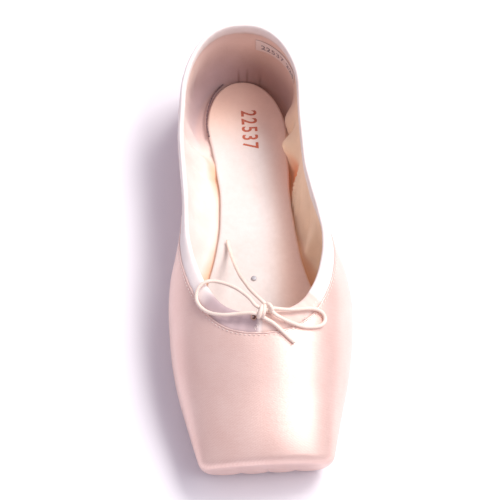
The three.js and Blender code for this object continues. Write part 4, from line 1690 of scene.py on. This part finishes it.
@dataclass
class Casing:
    """The puffed cotton casing that holds the drawstring round the opening."""

    last: Last
    satin_edge: CutEdge
    opening: CutEdge
    proud: float = 0.42
    samples: int = 300
    around: int = 28
    section_power: float = 2.7
    smoothing: int = 15
    hollow_depth: float = 1.5

    def frame_lines(self) -> tuple[Array, Array, Array]:
        """The casing's lower line, its upward reach and its outward direction.

        Each point of the satin's edge is matched to the nearest point of the opening,
        and the matches are smoothed by a running mean.

        Returns:
            Three closed loops of points or vectors, round the right side to the heel
            and back round the left one.
        """
        low = self.last.edge_line(self.satin_edge, self.samples)
        high = self.last.edge_line(self.opening, self.samples * 6)
        distance = np.linalg.norm(low[:, None, :] - high[None, :, :], axis=2)
        nearest = np.argmin(distance, axis=1).astype(float)
        nearest[0] = 0
        nearest[-1] = len(high) - 1
        half = self.smoothing // 2
        before = -nearest[half:0:-1]
        after = 2 * nearest[-1] - nearest[-2:-half - 2:-1]
        padded = np.concatenate([before, nearest, after])
        nearest = np.convolve(padded, np.ones(self.smoothing) / self.smoothing, mode="valid")
        top = along_axes(high, np.arange(len(high)), nearest)
        middle = self.last.at("middle", np.array([low[0, 1] + CENTRE_FROM_TOE]))[0] - CENTRE_X
        low[0, 0] = top[0, 0] = middle
        low = np.concatenate([low, mirrored(low, self.last)[-2:0:-1]])
        top = np.concatenate([top, mirrored(top, self.last)[-2:0:-1]])
        reach = top - low
        return low, reach, unit(np.cross(tangents(low, True), reach))

    def tint(self, low: Array, around: Array) -> Array:
        """Cream cotton, satin-covered front right, and painted shade: mauve on the outside
        of the hollow front left, brownish on the inner face in the heel.

        Args:
            low: The casing's lower line.
            around: Turns round the cross-section, 0 at its top and a quarter outside.

        Returns:
            Line by turns, a colour each.
        """
        x, y = low[:, 0:1], low[:, 1:2]
        right = smoothstep(x, -3.0, 0.0) * fade(y, -50.2, -48.2)
        outside = smoothstep(np.sin(around), -0.5, 0.2)[None, :]
        # Painted mauve shade on the outside of the hollow, front left.
        left = fade(x, -4.0, -2.0) * fade(y, -51.7, -41.7) * outside
        # Painted shade on the casing's inner face in the heel: heel times inner, below.
        heel = smoothstep(y, 62.3, 98.3)
        inner = smoothstep(-np.sin(around), 0.35, 0.85) * smoothstep(-np.cos(around), -0.1, 0.7)
        return layered(
            (0.97, 0.90, 0.88),
            ((0.52, 0.40, 0.42), left),
            ((0.86, 0.66, 0.60), right),
            ((0.74, 0.57, 0.52), heel * inner[None, :]),
        )

    def hollow(self, low: Array, up: Array, out: Array) -> Array:
        """How deep the casing sinks, front left, where the bow pulls it in.

        Args:
            low: The casing's lower line.
            up: Height in the cross-section, -1 to 1.
            out: Place across it, -1 inside to 1 outside.

        Returns:
            Line by turns, in millimetres.
        """
        x, y = low[:, 0], low[:, 1]
        along = smoothstep(x, -27.0, -15.0) * fade(x, -6.0, -1.0) * (y < 0)
        across = bump(up, -0.15, 0.55) * smoothstep(out, 0.2, 0.8)
        return self.hollow_depth * along[:, None] * across[None, :]

    def build(self) -> None:
        """Builds the casing, the rolled satin edge along its lower line and their seam.

        A cross-section is a superellipse between the two edges, as thick as the wall and
        a little proud of it on both sides, with soft gathers that grow at the throat. The
        rolled edge is a thin uneven cord of cloth.
        """
        low, reach, outward = self.frame_lines()
        wall = self.last.wall(low[:, 1] + CENTRE_FROM_TOE)
        at = arc_lengths(low)
        turns = full_turn(self.around)
        power = 2 / self.section_power
        up = np.sign(np.cos(turns)) * np.abs(np.cos(turns)) ** power
        out = np.sign(np.sin(turns)) * np.abs(np.sin(turns)) ** power
        throat = bump(low[:, 1], -57.7, 26.0)
        gather = np.sin(at * 1.15 + 0.9 * np.sin(at * 0.21)) * (0.04 + 0.07 * throat)
        sway = 0.16 * np.sin(at * 0.083) + 0.10 * np.sin(at * 0.19 + 1.0)
        half_thick = wall / 2 + self.proud + gather
        size = np.linalg.norm(reach, axis=1)
        upward = reach / size[:, None]
        middle = low + reach * 0.5 - outward * (wall / 2)[:, None]
        half_high = size / 2 + 0.25
        points = middle[:, None, :]
        points = points + upward[:, None, :] * (half_high[:, None] * up)[..., None]
        lean = (half_thick[:, None] * out) + (sway[:, None] * (0.5 + 0.5 * up))
        lean = lean - self.hollow(low, up, out)
        points = points + outward[:, None, :] * lean[..., None]
        cloth = np.stack(np.broadcast_arrays(at[:, None], turns * 3.5), axis=-1)
        patch = Patch.from_grid(points, cloth, True, True, tint=self.tint(low, turns)).outwards()
        material = CottonFinish("casing_cloth", 0.93, 0.42, 0.04).build()
        make_piece("casing_band", patch, material, "casing_cloth", "drawstring_casing")
        line = low - upward * 0.15 + outward * 0.05
        radius = 0.40 + 0.05 * np.sin(arc_lengths(line) * 0.9)
        edge = tube(line, radius, 10, np.array([0.02, 0.03, 1.0]), True)
        satin = SatinFinish("satin_edge", (0.86, 0.66, 0.61), (0.77, 0.56, 0.51))
        make_piece("satin_rolled_edge", edge, satin.build(), "satin")
        Stitching().build_seam(low, upward, outward)


@dataclass(frozen=True)
class TackRow:
    """A short zigzag of stitches: its two ends, its number of swings and half its width."""

    start: tuple[float, float]
    end: tuple[float, float]
    swings: int
    half: float

    def corners(self) -> Array:
        """The zigzag's corners, half a width to each side of the line in turn."""
        start, end = np.array(self.start), np.array(self.end)
        along = unit(end - start)
        aside = np.array([-along[1], along[0]]) * self.half
        number = np.arange(self.swings + 1)[:, None]
        swing = np.where(number % 2 == 1, 1.0, -1.0)
        return start + (end - start) * (number / self.swings) + aside * swing


@dataclass
class Stitching:
    """Small thread stitches: a running seam and the zigzags at the casing's ends."""

    thread: float = 0.36
    pitch: float = 2.1
    stitch: float = 1.35
    seam_drop: float = 1.15
    tack_rows: tuple[TackRow, ...] = (
        TackRow((23.2, -52.3), (26.4, -48.1), 6, 1.1),
        TackRow((18.0, -59.3), (20.4, -55.4), 7, 0.9),
        TackRow((-4.4, -63.0), (-0.9, -59.3), 7, 0.8),
    )
    finish: CordFinish = CordFinish("thread", (0.94, 0.84, 0.79), (0.86, 0.73, 0.67), 0.3, 0.02)

    def one(self, start: Array, end: Array, lift: Array) -> Patch:
        """A stitch: a six-sided thread that rises as a half sine between its two holes.

        Args:
            start: One hole.
            end: The other hole.
            lift: The direction that it stands up in.

        Returns:
            The closed surface.
        """
        share = np.array([0.0, 0.15, 0.5, 0.85, 1.0])
        line = start + (end - start) * share[:, None]
        line = line + lift * (np.sin(share * math.pi)[:, None] - 0.3) * self.thread * 0.5
        radius = self.thread / 2 * np.array([0.05, 0.8, 1.0, 0.8, 0.05])
        return tube(line, radius, 6, lift, False)

    def build_seam(self, low: Array, upward: Array, outward: Array) -> None:
        """Runs stitches along the satin just below its rolled edge.

        Args:
            low: The casing's lower line.
            upward: The way up the casing at each point.
            outward: The way out of the shoe at each point.
        """
        line = low - upward * self.seam_drop + outward * 0.12
        length = arc_lengths(line)
        count = int(length[-1] / self.pitch)
        stitches = []
        for number in range(count):
            at = length[-1] * (number + 0.25) / count
            ends = np.array([at, at + self.stitch])
            start, end = along_axes(line, length, ends)
            stitches.append(self.one(start, end, unit(along_axes(outward, length, at))))
        make_piece("edge_stitches", Patch.joined(stitches), self.finish.build(), "casing_cloth",
                   weld=0.0001)

    def build_tacks(self, below: list[Object]) -> None:
        """Sews the zigzags that close the casing's ends, laid onto the pieces below.

        Args:
            below: The pieces that the stitches lie on.
        """
        up = np.array([0.0, 0.0, 1.0])
        stitches = []
        for row in self.tack_rows:
            found = [height_on(below, *corner) for corner in row.corners()]
            stitches += [self.one(one, other, up) for one, other in zip(found[:-1], found[1:])]
        thread = bpy.data.materials[self.finish.name]
        make_piece("bar_tacks", Patch.joined(stitches), thread, "casing_cloth", weld=0.0001)


@dataclass
class Eyelet:
    """The sewn hole in the casing that the drawstring comes out of."""

    place: tuple[float, float] = (-4.4, -57.6)
    facing: Point = (-0.25, -0.35, 1.0)
    radius: float = 1.4
    flattening: float = 0.85
    thread: float = 0.55
    # The rim's brown thread is painted shade round the hole.
    rim: CordFinish = CordFinish(
        "eyelet_thread", (0.72, 0.48, 0.38), (0.52, 0.30, 0.22), 0.4, 0.04)
    # The near-black disc is painted shade inside the hole.
    shade: NapFinish = NapFinish(
        "eyelet_shade", (0.22, 0.11, 0.08), (0.13, 0.06, 0.04), 1800.0, 200.0)

    def build(self, below: list[Object]) -> None:
        """Builds the hole's thread rim, a lumpy ellipse, and a dark disc inside it: the
        rim's brown and the disc are painted shade of the hole.

        Args:
            below: The pieces that it lies on.
        """
        middle = height_on(below, *self.place)
        out = unit(np.array(self.facing))
        first = unit(np.cross(out, np.array([0.0, 1.0, 0.2])))
        second = np.cross(out, first)
        angle = full_turn(36)[:, None]
        ring = np.cos(angle) * first * self.radius * self.flattening
        ring = ring + np.sin(angle) * second * self.radius
        thread = self.thread / 2 * (1 + 0.12 * np.sin(angle[:, 0] * 11))
        rim = tube(middle + ring + out * 0.1, thread, 10, out, True)
        make_piece("eyelet_rim", rim, self.rim.build(), "casing_cloth")
        depth = np.array([-0.5, -0.2, 0.05, 0.02, -0.02])
        share = np.array([0.01, 0.9, 0.98, 0.6, 0.01])
        disc = middle + ring[None, :, :] * share[:, None, None] + out * depth[:, None, None]
        patch = Patch.from_grid(disc, disc[..., :2], False, True).outwards()
        make_piece("eyelet_hole", patch, self.shade.build(), "casing_cloth")


@dataclass
class HeelLabel:
    """A cloth label sewn inside the heel, blank but for plain numerals.

    It runs from turn_start to turn_end, in degrees from the heel's side to its back, and
    rises by its slope in millimetres to the degree.
    """

    lining: Lining
    turn_start: float = 18.0
    turn_end: float = 75.0
    bottom: float = 33.5
    top: float = 43.5
    slope: float = 0.02
    text: str = "22537 225"
    letter_height: float = 4.2
    letter_turn: float = 6.0
    letter_foot: float = 2.2
    ink: InkFinish = InkFinish("label_ink", (0.42, 0.34, 0.34), (0.28, 0.22, 0.23))

    def on_wall(self, turn: Array, height: Array, lift: float) -> Array:
        """Points over the lining inside the heel's right half.

        Args:
            turn: How far round the heel, in degrees from its side to its back.
            height: Height above the floor.
            lift: Distance from the lining, into the shoe.

        Returns:
            Points in the part's frame.
        """
        last = self.lining.last
        wall = float(last.wall(np.array([last.length]))[0])
        angle = np.radians(turn)
        depth = (last.heel_rounding - wall) * np.sin(angle)
        from_toe = last.length - last.heel_rounding + depth
        scale = last.round_end(depth, last.heel_rounding - wall)
        belly = last.at("belly", from_toe)
        crown = last.at("crown", from_toe) - wall
        middle = last.at("middle", from_toe)
        half = (last.at("half", from_toe) - wall) * scale
        rise = np.clip((height - belly) / (crown - belly), 0, 1) ** (last.dome_power / 2)
        over = np.arcsin(rise)
        across = middle + half * np.cos(over) ** (2 / last.dome_power)
        points = last.placed(from_toe, across, height)
        at = Places(Side.RIGHT, 2 + over / QUARTER, from_toe, across, height)
        inward = np.stack([-np.cos(angle), -np.sin(angle), np.zeros(turn.shape)], axis=-1)
        return points + inward * (self.lining.relief(at) + lift)[..., None]

    def build(self) -> None:
        """Builds the label as a thin cloth and lays its numerals on it.

        The numerals run back from the label's rear end, 0.53 mm to a degree, and stand
        out from it by their own thickness.
        """
        turn, height = np.meshgrid(
            np.linspace(self.turn_start, self.turn_end, 60),
            np.linspace(self.bottom, self.top, 16),
            indexing="ij",
        )
        points = self.on_wall(turn, height + (turn - self.turn_start) * self.slope, 0.5)
        cloth = np.stack([turn * 0.55, height], axis=-1)
        tint = layered((0.80, 0.64, 0.59), ((0.86, 0.72, 0.67), smoothstep(height, 34, 42)))
        patch = Patch.from_grid(points, cloth, flip=True, tint=tint)
        material = CottonFinish("label_cloth", 0.92, 0.35, 0.03).build()
        make_piece("heel_label", patch, material, "lining", wall=0.25)
        mesh, corners = numeral_mesh("label_mark", self.text, 1.1, self.letter_height)
        along, up, out = corners.T
        turn = self.turn_end - self.letter_turn - along / 0.53
        height = self.bottom + self.letter_foot + up + (turn - self.turn_start) * self.slope
        points = self.on_wall(turn, height, 0.58)
        inward = unit(points - self.on_wall(turn, height, 0.2))
        place_numerals(mesh, points + inward * out[:, None], self.ink.build(), "lining")


def profile(*runs: tuple[Array | float, Array | float, Array | float]) -> Array:
    """A board's cross-section: runs of millimetres in, shares of the rest and rises."""
    return np.concatenate([np.stack(np.broadcast_arrays(*run)) for run in runs], axis=1)


@dataclass
class Board:
    """A flat sole piece: its outline drawn in towards a line down its middle.

    It has a round end at its tip and at its back, each a rounding long.
    """

    last: Last
    tip: float
    tip_rounding: float
    back: float
    back_rounding: float

    def outline(self) -> tuple[Array, Array]:
        """The outline as a closed loop, down the right side and back up the left one.

        Returns:
            Stations, and 1 or -1 for each one's side.
        """
        ends = quarter_turn(26)
        front = self.tip + self.tip_rounding * (1 - np.cos(ends))
        body = np.linspace(self.tip + self.tip_rounding, self.back - self.back_rounding, 60)
        rear = self.back - self.back_rounding + self.back_rounding * np.sin(ends)
        down = np.concatenate([front, body[1:-1], rear])
        sides = np.concatenate([np.ones(len(down)), -np.ones(len(down) - 2)])
        return np.concatenate([down, down[-2:0:-1]]), sides

    def half_at(self, from_toe: Array) -> Array:
        """Half width at a station."""
        raise NotImplementedError

    def middle_at(self, from_toe: Array) -> Array:
        """Middle line at a station."""
        raise NotImplementedError

    def drawn_in(self, near: Array, share: Array) -> tuple[Array, Array]:
        """The outline drawn in, first by millimetres and then by shares.

        Args:
            near: Distances in from the edge, from 0 up.
            share: For each, how much of the rest of the way to the middle line.

        Returns:
            Stations and places across, outline by steps.
        """
        from_toe, side = self.outline()
        across = self.middle_at(from_toe) + side * self.half_at(from_toe)
        spine = np.clip(from_toe, self.tip + self.tip_rounding, self.back - self.back_rounding)
        spine_across = self.middle_at(spine)
        reach = np.hypot(across - spine_across, from_toe - spine)[:, None]
        first = np.clip(near[None, :] / reach, 0, 0.9)
        total = first + (1 - first) * share[None, :]
        stations = from_toe[:, None] + (spine - from_toe)[:, None] * total
        return stations, across[:, None] + (spine_across - across)[:, None] * total


@dataclass
class Outsole(Board):
    """The split-leather outsole with its bevelled edge and sewn channel."""

    channel_inset: float = 3.4
    channel_depth: float = 0.45
    bevel_width: float = 1.6
    bevel_height: float = 1.1
    finish: NapFinish = NapFinish(
        "sole_leather", (0.70, 0.50, 0.33), (0.55, 0.36, 0.22), 1100.0, 45.0)

    def half_at(self, from_toe: Array) -> Array:
        """Half width at a station."""
        return self.last.outsole_half(from_toe, 0.0)

    def middle_at(self, from_toe: Array) -> Array:
        """Middle line at a station."""
        return self.last.outsole_middle(from_toe)

    def build(self) -> None:
        """Builds the outsole, slightly uneven above its bevel.

        The edge rises from the tread as a quarter round, and the channel is a bell-shaped
        groove in from the edge.
        """
        tread = np.array([5.2, 4.6, 4.2, 3.9, 3.65, 3.4, 3.15, 2.9, 2.6, 2.2, 1.8])
        groove = self.channel_depth * bump(tread, self.channel_inset, 0.35)
        ease = quarter_turn(8)
        bevel_in = self.bevel_width * (1 - np.sin(ease))
        bevel_up = self.bevel_height * (1 - np.cos(ease))
        near, share, rise = profile(
            (5.6, np.linspace(1, 0, 6), 0.0),
            (tread, 0.0, groove),
            (bevel_in, 0.0, bevel_up),
            (np.array([0.0, 0.0, 0.25, 0.6]), 0.0, np.array([1.6, 2.1, 2.35, 2.4])),
            (0.6, np.array([0.1, 0.4, 0.7, 1.0]), self.last.outsole_thickness),
        )
        stations, across = self.drawn_in(near, share)
        uneven = 0.05 * np.sin(stations * 0.31) * np.sin(across * 0.27)
        height = self.last.lift(stations) + rise + uneven * (rise > 1.3)
        points = in_frame(stations, across, height)
        cloth = np.stack([stations, across], axis=-1)
        patch = Patch.from_grid(points, cloth, True).outwards()
        make_piece("leather_outsole", patch, self.finish.build(), "sole_leather", "outsole")


@dataclass
class Insole(Board):
    """The padded insole sock: brushed cloth with a soft rolled edge."""

    tip: float = 14.0
    tip_rounding: float = 18.0
    back: float = 229.5
    back_rounding: float = 38.0
    heel_inset: float = 1.6
    forefoot_inset: float = 1.4
    edge_width: float = 1.5
    gap_shade_front: float = 189.5
    gap_shade_back: float = 226.0
    finish: NapFinish = NapFinish(
        "insole_cloth", (1.0, 1.0, 1.0), (0.90, 0.90, 0.90), 1300.0, 50.0, 0.12, from_mesh=True)
    # The thread's near-black colour is painted shade of the gap it lies in.
    gap_shade_finish: CordFinish = CordFinish(
        "dark_thread", (0.24, 0.15, 0.16), (0.10, 0.06, 0.07), 0.3, 0.02)

    def half_at(self, from_toe: Array) -> Array:
        """Half width at a station: the last's sole inside its wall, with round ends.

        Args:
            from_toe: Stations.

        Returns:
            Half widths.
        """
        last = self.last
        from_tip = self.tip + self.tip_rounding - from_toe
        from_back = from_toe - (self.back - self.back_rounding)
        tip = last.round_end(from_tip, self.tip_rounding)
        heel = last.round_end(from_back, self.back_rounding)
        inset = last.wall(from_toe) * last.sole_inset_share + GAP
        inset = inset + self.heel_inset * smoothstep(from_toe, 160, 190)
        inset = inset + self.forefoot_inset * self.forefoot(from_toe)
        return (last.at("sole_half", from_toe) - inset) * np.minimum(tip, heel)

    def forefoot(self, from_toe: Array) -> Array:
        """How much a station belongs to the forefoot: 1 before the waist, 0 behind it."""
        return fade(from_toe, 100, 135)

    def middle_at(self, from_toe: Array) -> Array:
        """Middle line at a station."""
        shift = -0.1 * smoothstep(from_toe, 172, 198) - 1.0 * self.forefoot(from_toe)
        return self.last.at("sole_middle", from_toe) + shift

    def low(self, from_toe: Array) -> Array:
        """Height of its underside."""
        last = self.last
        return last.lift(from_toe) + last.outsole_thickness + last.margin_thickness + 2 * GAP

    def top(self, from_toe: Array, across: Array) -> Array:
        """Height of its surface away from the edge: the thickness and a slight swell."""
        swell = 0.10 * np.sin(from_toe * 0.065 + 0.5) + 0.06 * np.sin(across * 0.22)
        return self.low(from_toe) + self.last.insole_thickness - 0.12 + swell

    def tint(self, from_toe: Array, across: Array) -> Array:
        """Pale cloth, with painted shade along its right edge and towards the heel: warmer
        there, for the right wall's shadow and the light thrown back off the lining.
        """
        # Painted warm shade where the right wall's shadow falls.
        right = smoothstep(across - self.middle_at(from_toe), 3.0, 19.0)
        # Painted warm shade towards the heel, under its walls.
        heel = smoothstep(from_toe, 178, 216)
        return layered(
            (0.78, 0.72, 0.70), ((1.0, 0.72, 0.60), right * 0.9), ((0.96, 0.69, 0.57), heel),
        )

    def build(self) -> None:
        """Builds the insole: a quarter-round edge and a softly uneven top."""
        turn = quarter_turn(8)
        near, share, rise = profile(
            (0.8, np.array([1.0, 0.7, 0.4, 0.1]), 0.0),
            (np.array([0.8, 0.3, 0.0]), 0.0, np.array([0.0, 0.1, 0.45])),
            (self.edge_width * (1 - np.cos(turn)), 0.0, 0.45 + 0.55 * np.sin(turn)),
            (np.linspace(2.2, 5.0, 5), 0.0, 1.0),
            (5.0, np.linspace(0.1, 1.0, 9), 1.0),
        )
        stations, across = self.drawn_in(near, share)
        low = self.low(stations)
        height = low + (self.top(stations, across) - low) * rise
        points = self.last.placed(stations, across, low)
        points[..., 2] = height
        cloth = np.stack([stations, across], axis=-1)
        tint = self.tint(stations, across)
        patch = Patch.from_grid(points, cloth, True, tint=tint).outwards()
        make_piece("insole_sock", patch, self.finish.build(), "insole_cloth", "insole")
        self.build_gap_shade_thread()

    def build_gap_shade_thread(self) -> None:
        """Builds an uneven thread along the insole's edge, left of the heel, coloured near
        black: painted shade of the gap between the insole and the lining.
        """
        from_toe, side = self.outline()
        chosen = (side < 0) & (from_toe > self.gap_shade_front) & (from_toe < self.gap_shade_back)
        from_toe = from_toe[chosen]
        across = self.middle_at(from_toe) - self.half_at(from_toe) - 0.25
        height = self.top(from_toe, across) - 0.05
        line = flowing_line(in_frame(from_toe, across, height), 90)
        at = arc_lengths(line)
        radius = 0.36 + 0.12 * np.sin(at * 2.9) * np.sin(at * 0.7)
        patch = tube(line, radius, 8, np.array([0.0, 0.0, 1.0]), False, True)
        make_piece("heel_thread", patch, self.gap_shade_finish.build(), "insole_cloth")


@dataclass
class SizeMark:
    """Plain numerals stamped on the insole, running down from the heel."""

    insole: Insole
    text: str = "22537"
    letter_height: float = 8.5
    letter_squeeze: float = 0.74
    spacing: float = 1.25
    heel_end: float = 207.5
    across: float = 3.0
    finish: InkFinish = InkFinish("size_ink", (0.62, 0.20, 0.13), (0.44, 0.10, 0.06))

    def build(self) -> None:
        """Builds the numerals as thin solid shapes that lie on the insole."""
        mesh, corners = numeral_mesh("size_mark", self.text, self.spacing, self.letter_height)
        along, up, out = corners.T
        from_toe = self.heel_end - along * self.letter_squeeze
        across = self.across + up - self.letter_height / 2
        height = self.insole.top(from_toe, across) + 0.02 + out
        points = in_frame(from_toe, across, height)
        place_numerals(mesh, points, self.finish.build(), "insole_cloth")


@dataclass
class Tack:
    """The head of the tack through the insole."""

    last: Last
    across: float = 0.2
    from_toe: float = 101.9
    radius: float = 1.3
    rim: float = 0.25
    dome: float = 0.35

    def build(self) -> None:
        """Builds the head: a low dome on a rim, turned round its own axis."""
        angle = quarter_turn(9)
        radii = self.radius * np.concatenate([[0.0, 0.96, 1.0], np.cos(angle)])
        rises = np.concatenate([[0.0, 0.0, 0.06], self.rim + self.dome * np.sin(angle)])
        radii[-1] = 0.0
        low = float(self.last.lift(np.array([self.from_toe]))[0]) + self.last.outsole_thickness
        low += self.last.margin_thickness + self.last.insole_thickness + 3 * GAP
        turn = full_turn(40)
        across = self.across + radii[:, None] * np.cos(turn)
        from_toe = self.from_toe + radii[:, None] * np.sin(turn)
        points = in_frame(from_toe, across, low + rises[:, None])
        patch = Patch.from_grid(points, points[..., :2], False, True).outwards()
        make_piece("tack_head", patch, SteelFinish().build(), "tack_metal", "insole_tack")


# ------------------------------------------------------------------ the shoe


SATIN_CREASES = Crease.several(
    Side.LEFT,
    (187, 24, 90, 13, 3.2, -0.7), (180, 22, 85, 12, 3.4, 0.6), (168, 22, 95, 12, 3, -0.6),
    (140, 18, 70, 9, 3, -0.4),
) + Crease.several(
    Side.RIGHT,
    (184, 24, 88, 14, 3.6, -0.7), (163, 20, 80, 11, 5, -0.6), (146, 20, 60, 9, 2.4, -0.4),
)
LINING_CREASES = Crease.several(
    Side.LEFT,
    (188, 15, 90, 9, 3.6, 2), (174, 15, 86, 10, 5.4, 3.6), (182.2, 15, 88, 9, 1.2, -1.5),
    (165.6, 14, 82, 9, 1.2, -1.4), (177, 24, 66, 6, 1, -0.6), (126, 22, 60, 7, 3, 0.7),
    (133, 22, 70, 9, 1.4, -0.5), (206, 18, 112, 14, 2.2, 0.5), (214, 20, 80, 12, 1.4, -0.6),
) + Crease.several(
    Side.RIGHT,
    (176.5, 16, 90, 9.5, 6.2, 7.4), (194.5, 16, 90, 10, 8, 6.2), (185, 12, 84, 8, 1.3, -2.6),
    (162, 11, 90, 6, 6.5, -2.4), (151, 15, 40, 10, 2.4, 3), (147, 13, 42, 11, 0.9, -1.6),
    (143.5, 13, 46, 7, 1.4, 1.8), (125, 11, 20, 6, 1.6, -1), (117.5, 16, 72, 10, 3.6, 3.2),
    (128, 20, 62, 9, 1.2, -1.1), (205, 16, 78, 12, 1.6, -0.6),
)


def main() -> None:
    """Builds the studio and the shoe."""
    logging.basicConfig(level=logging.INFO, format="%(name)s: %(message)s")
    last = Last()
    satin_edge = CutEdge(SATIN_EDGE)
    opening = CutEdge(OPENING_EDGE)
    lining_rows = 0.72 * np.array(SATIN_EDGE) + 0.28 * np.array(OPENING_EDGE)
    lining_edge = CutEdge(tuple(tuple(row) for row in lining_rows.tolist()))
    Studio().build()
    Bow(last).build()
    throat = closing_up(49.0, 0.02, 14)
    side_seams = np.arange(101.0, 114.0, 0.35)
    outer = last.rings(
        0.0, 0.0, last.toe_edge_radius, False, np.concatenate([throat, side_seams]))
    inner = last.rings(
        last.platform_wall, last.margin_thickness, last.toe_edge_radius_inside, True,
        closing_up(51.5, 0.02, 14))
    Skin(last, outer, satin_edge, SATIN_CREASES).build()
    lining = Lining(last, inner, lining_edge, LINING_CREASES)
    lining.build()
    Casing(last, satin_edge, opening).build()
    below = [bpy.data.objects[name] for name in ("satin_skin", "casing_band")]
    Stitching().build_tacks(below)
    Eyelet().build(below)
    HeelLabel(lining).build()
    Outsole(last, last.outsole_tip, last.outsole_tip_rounding, last.outsole_back,
            last.outsole_back_rounding).build()
    insole = Insole(last)
    insole.build()
    SizeMark(insole).build()
    Tack(last).build()
    log.info("sizes written")


if __name__ == "__main__":
    main()
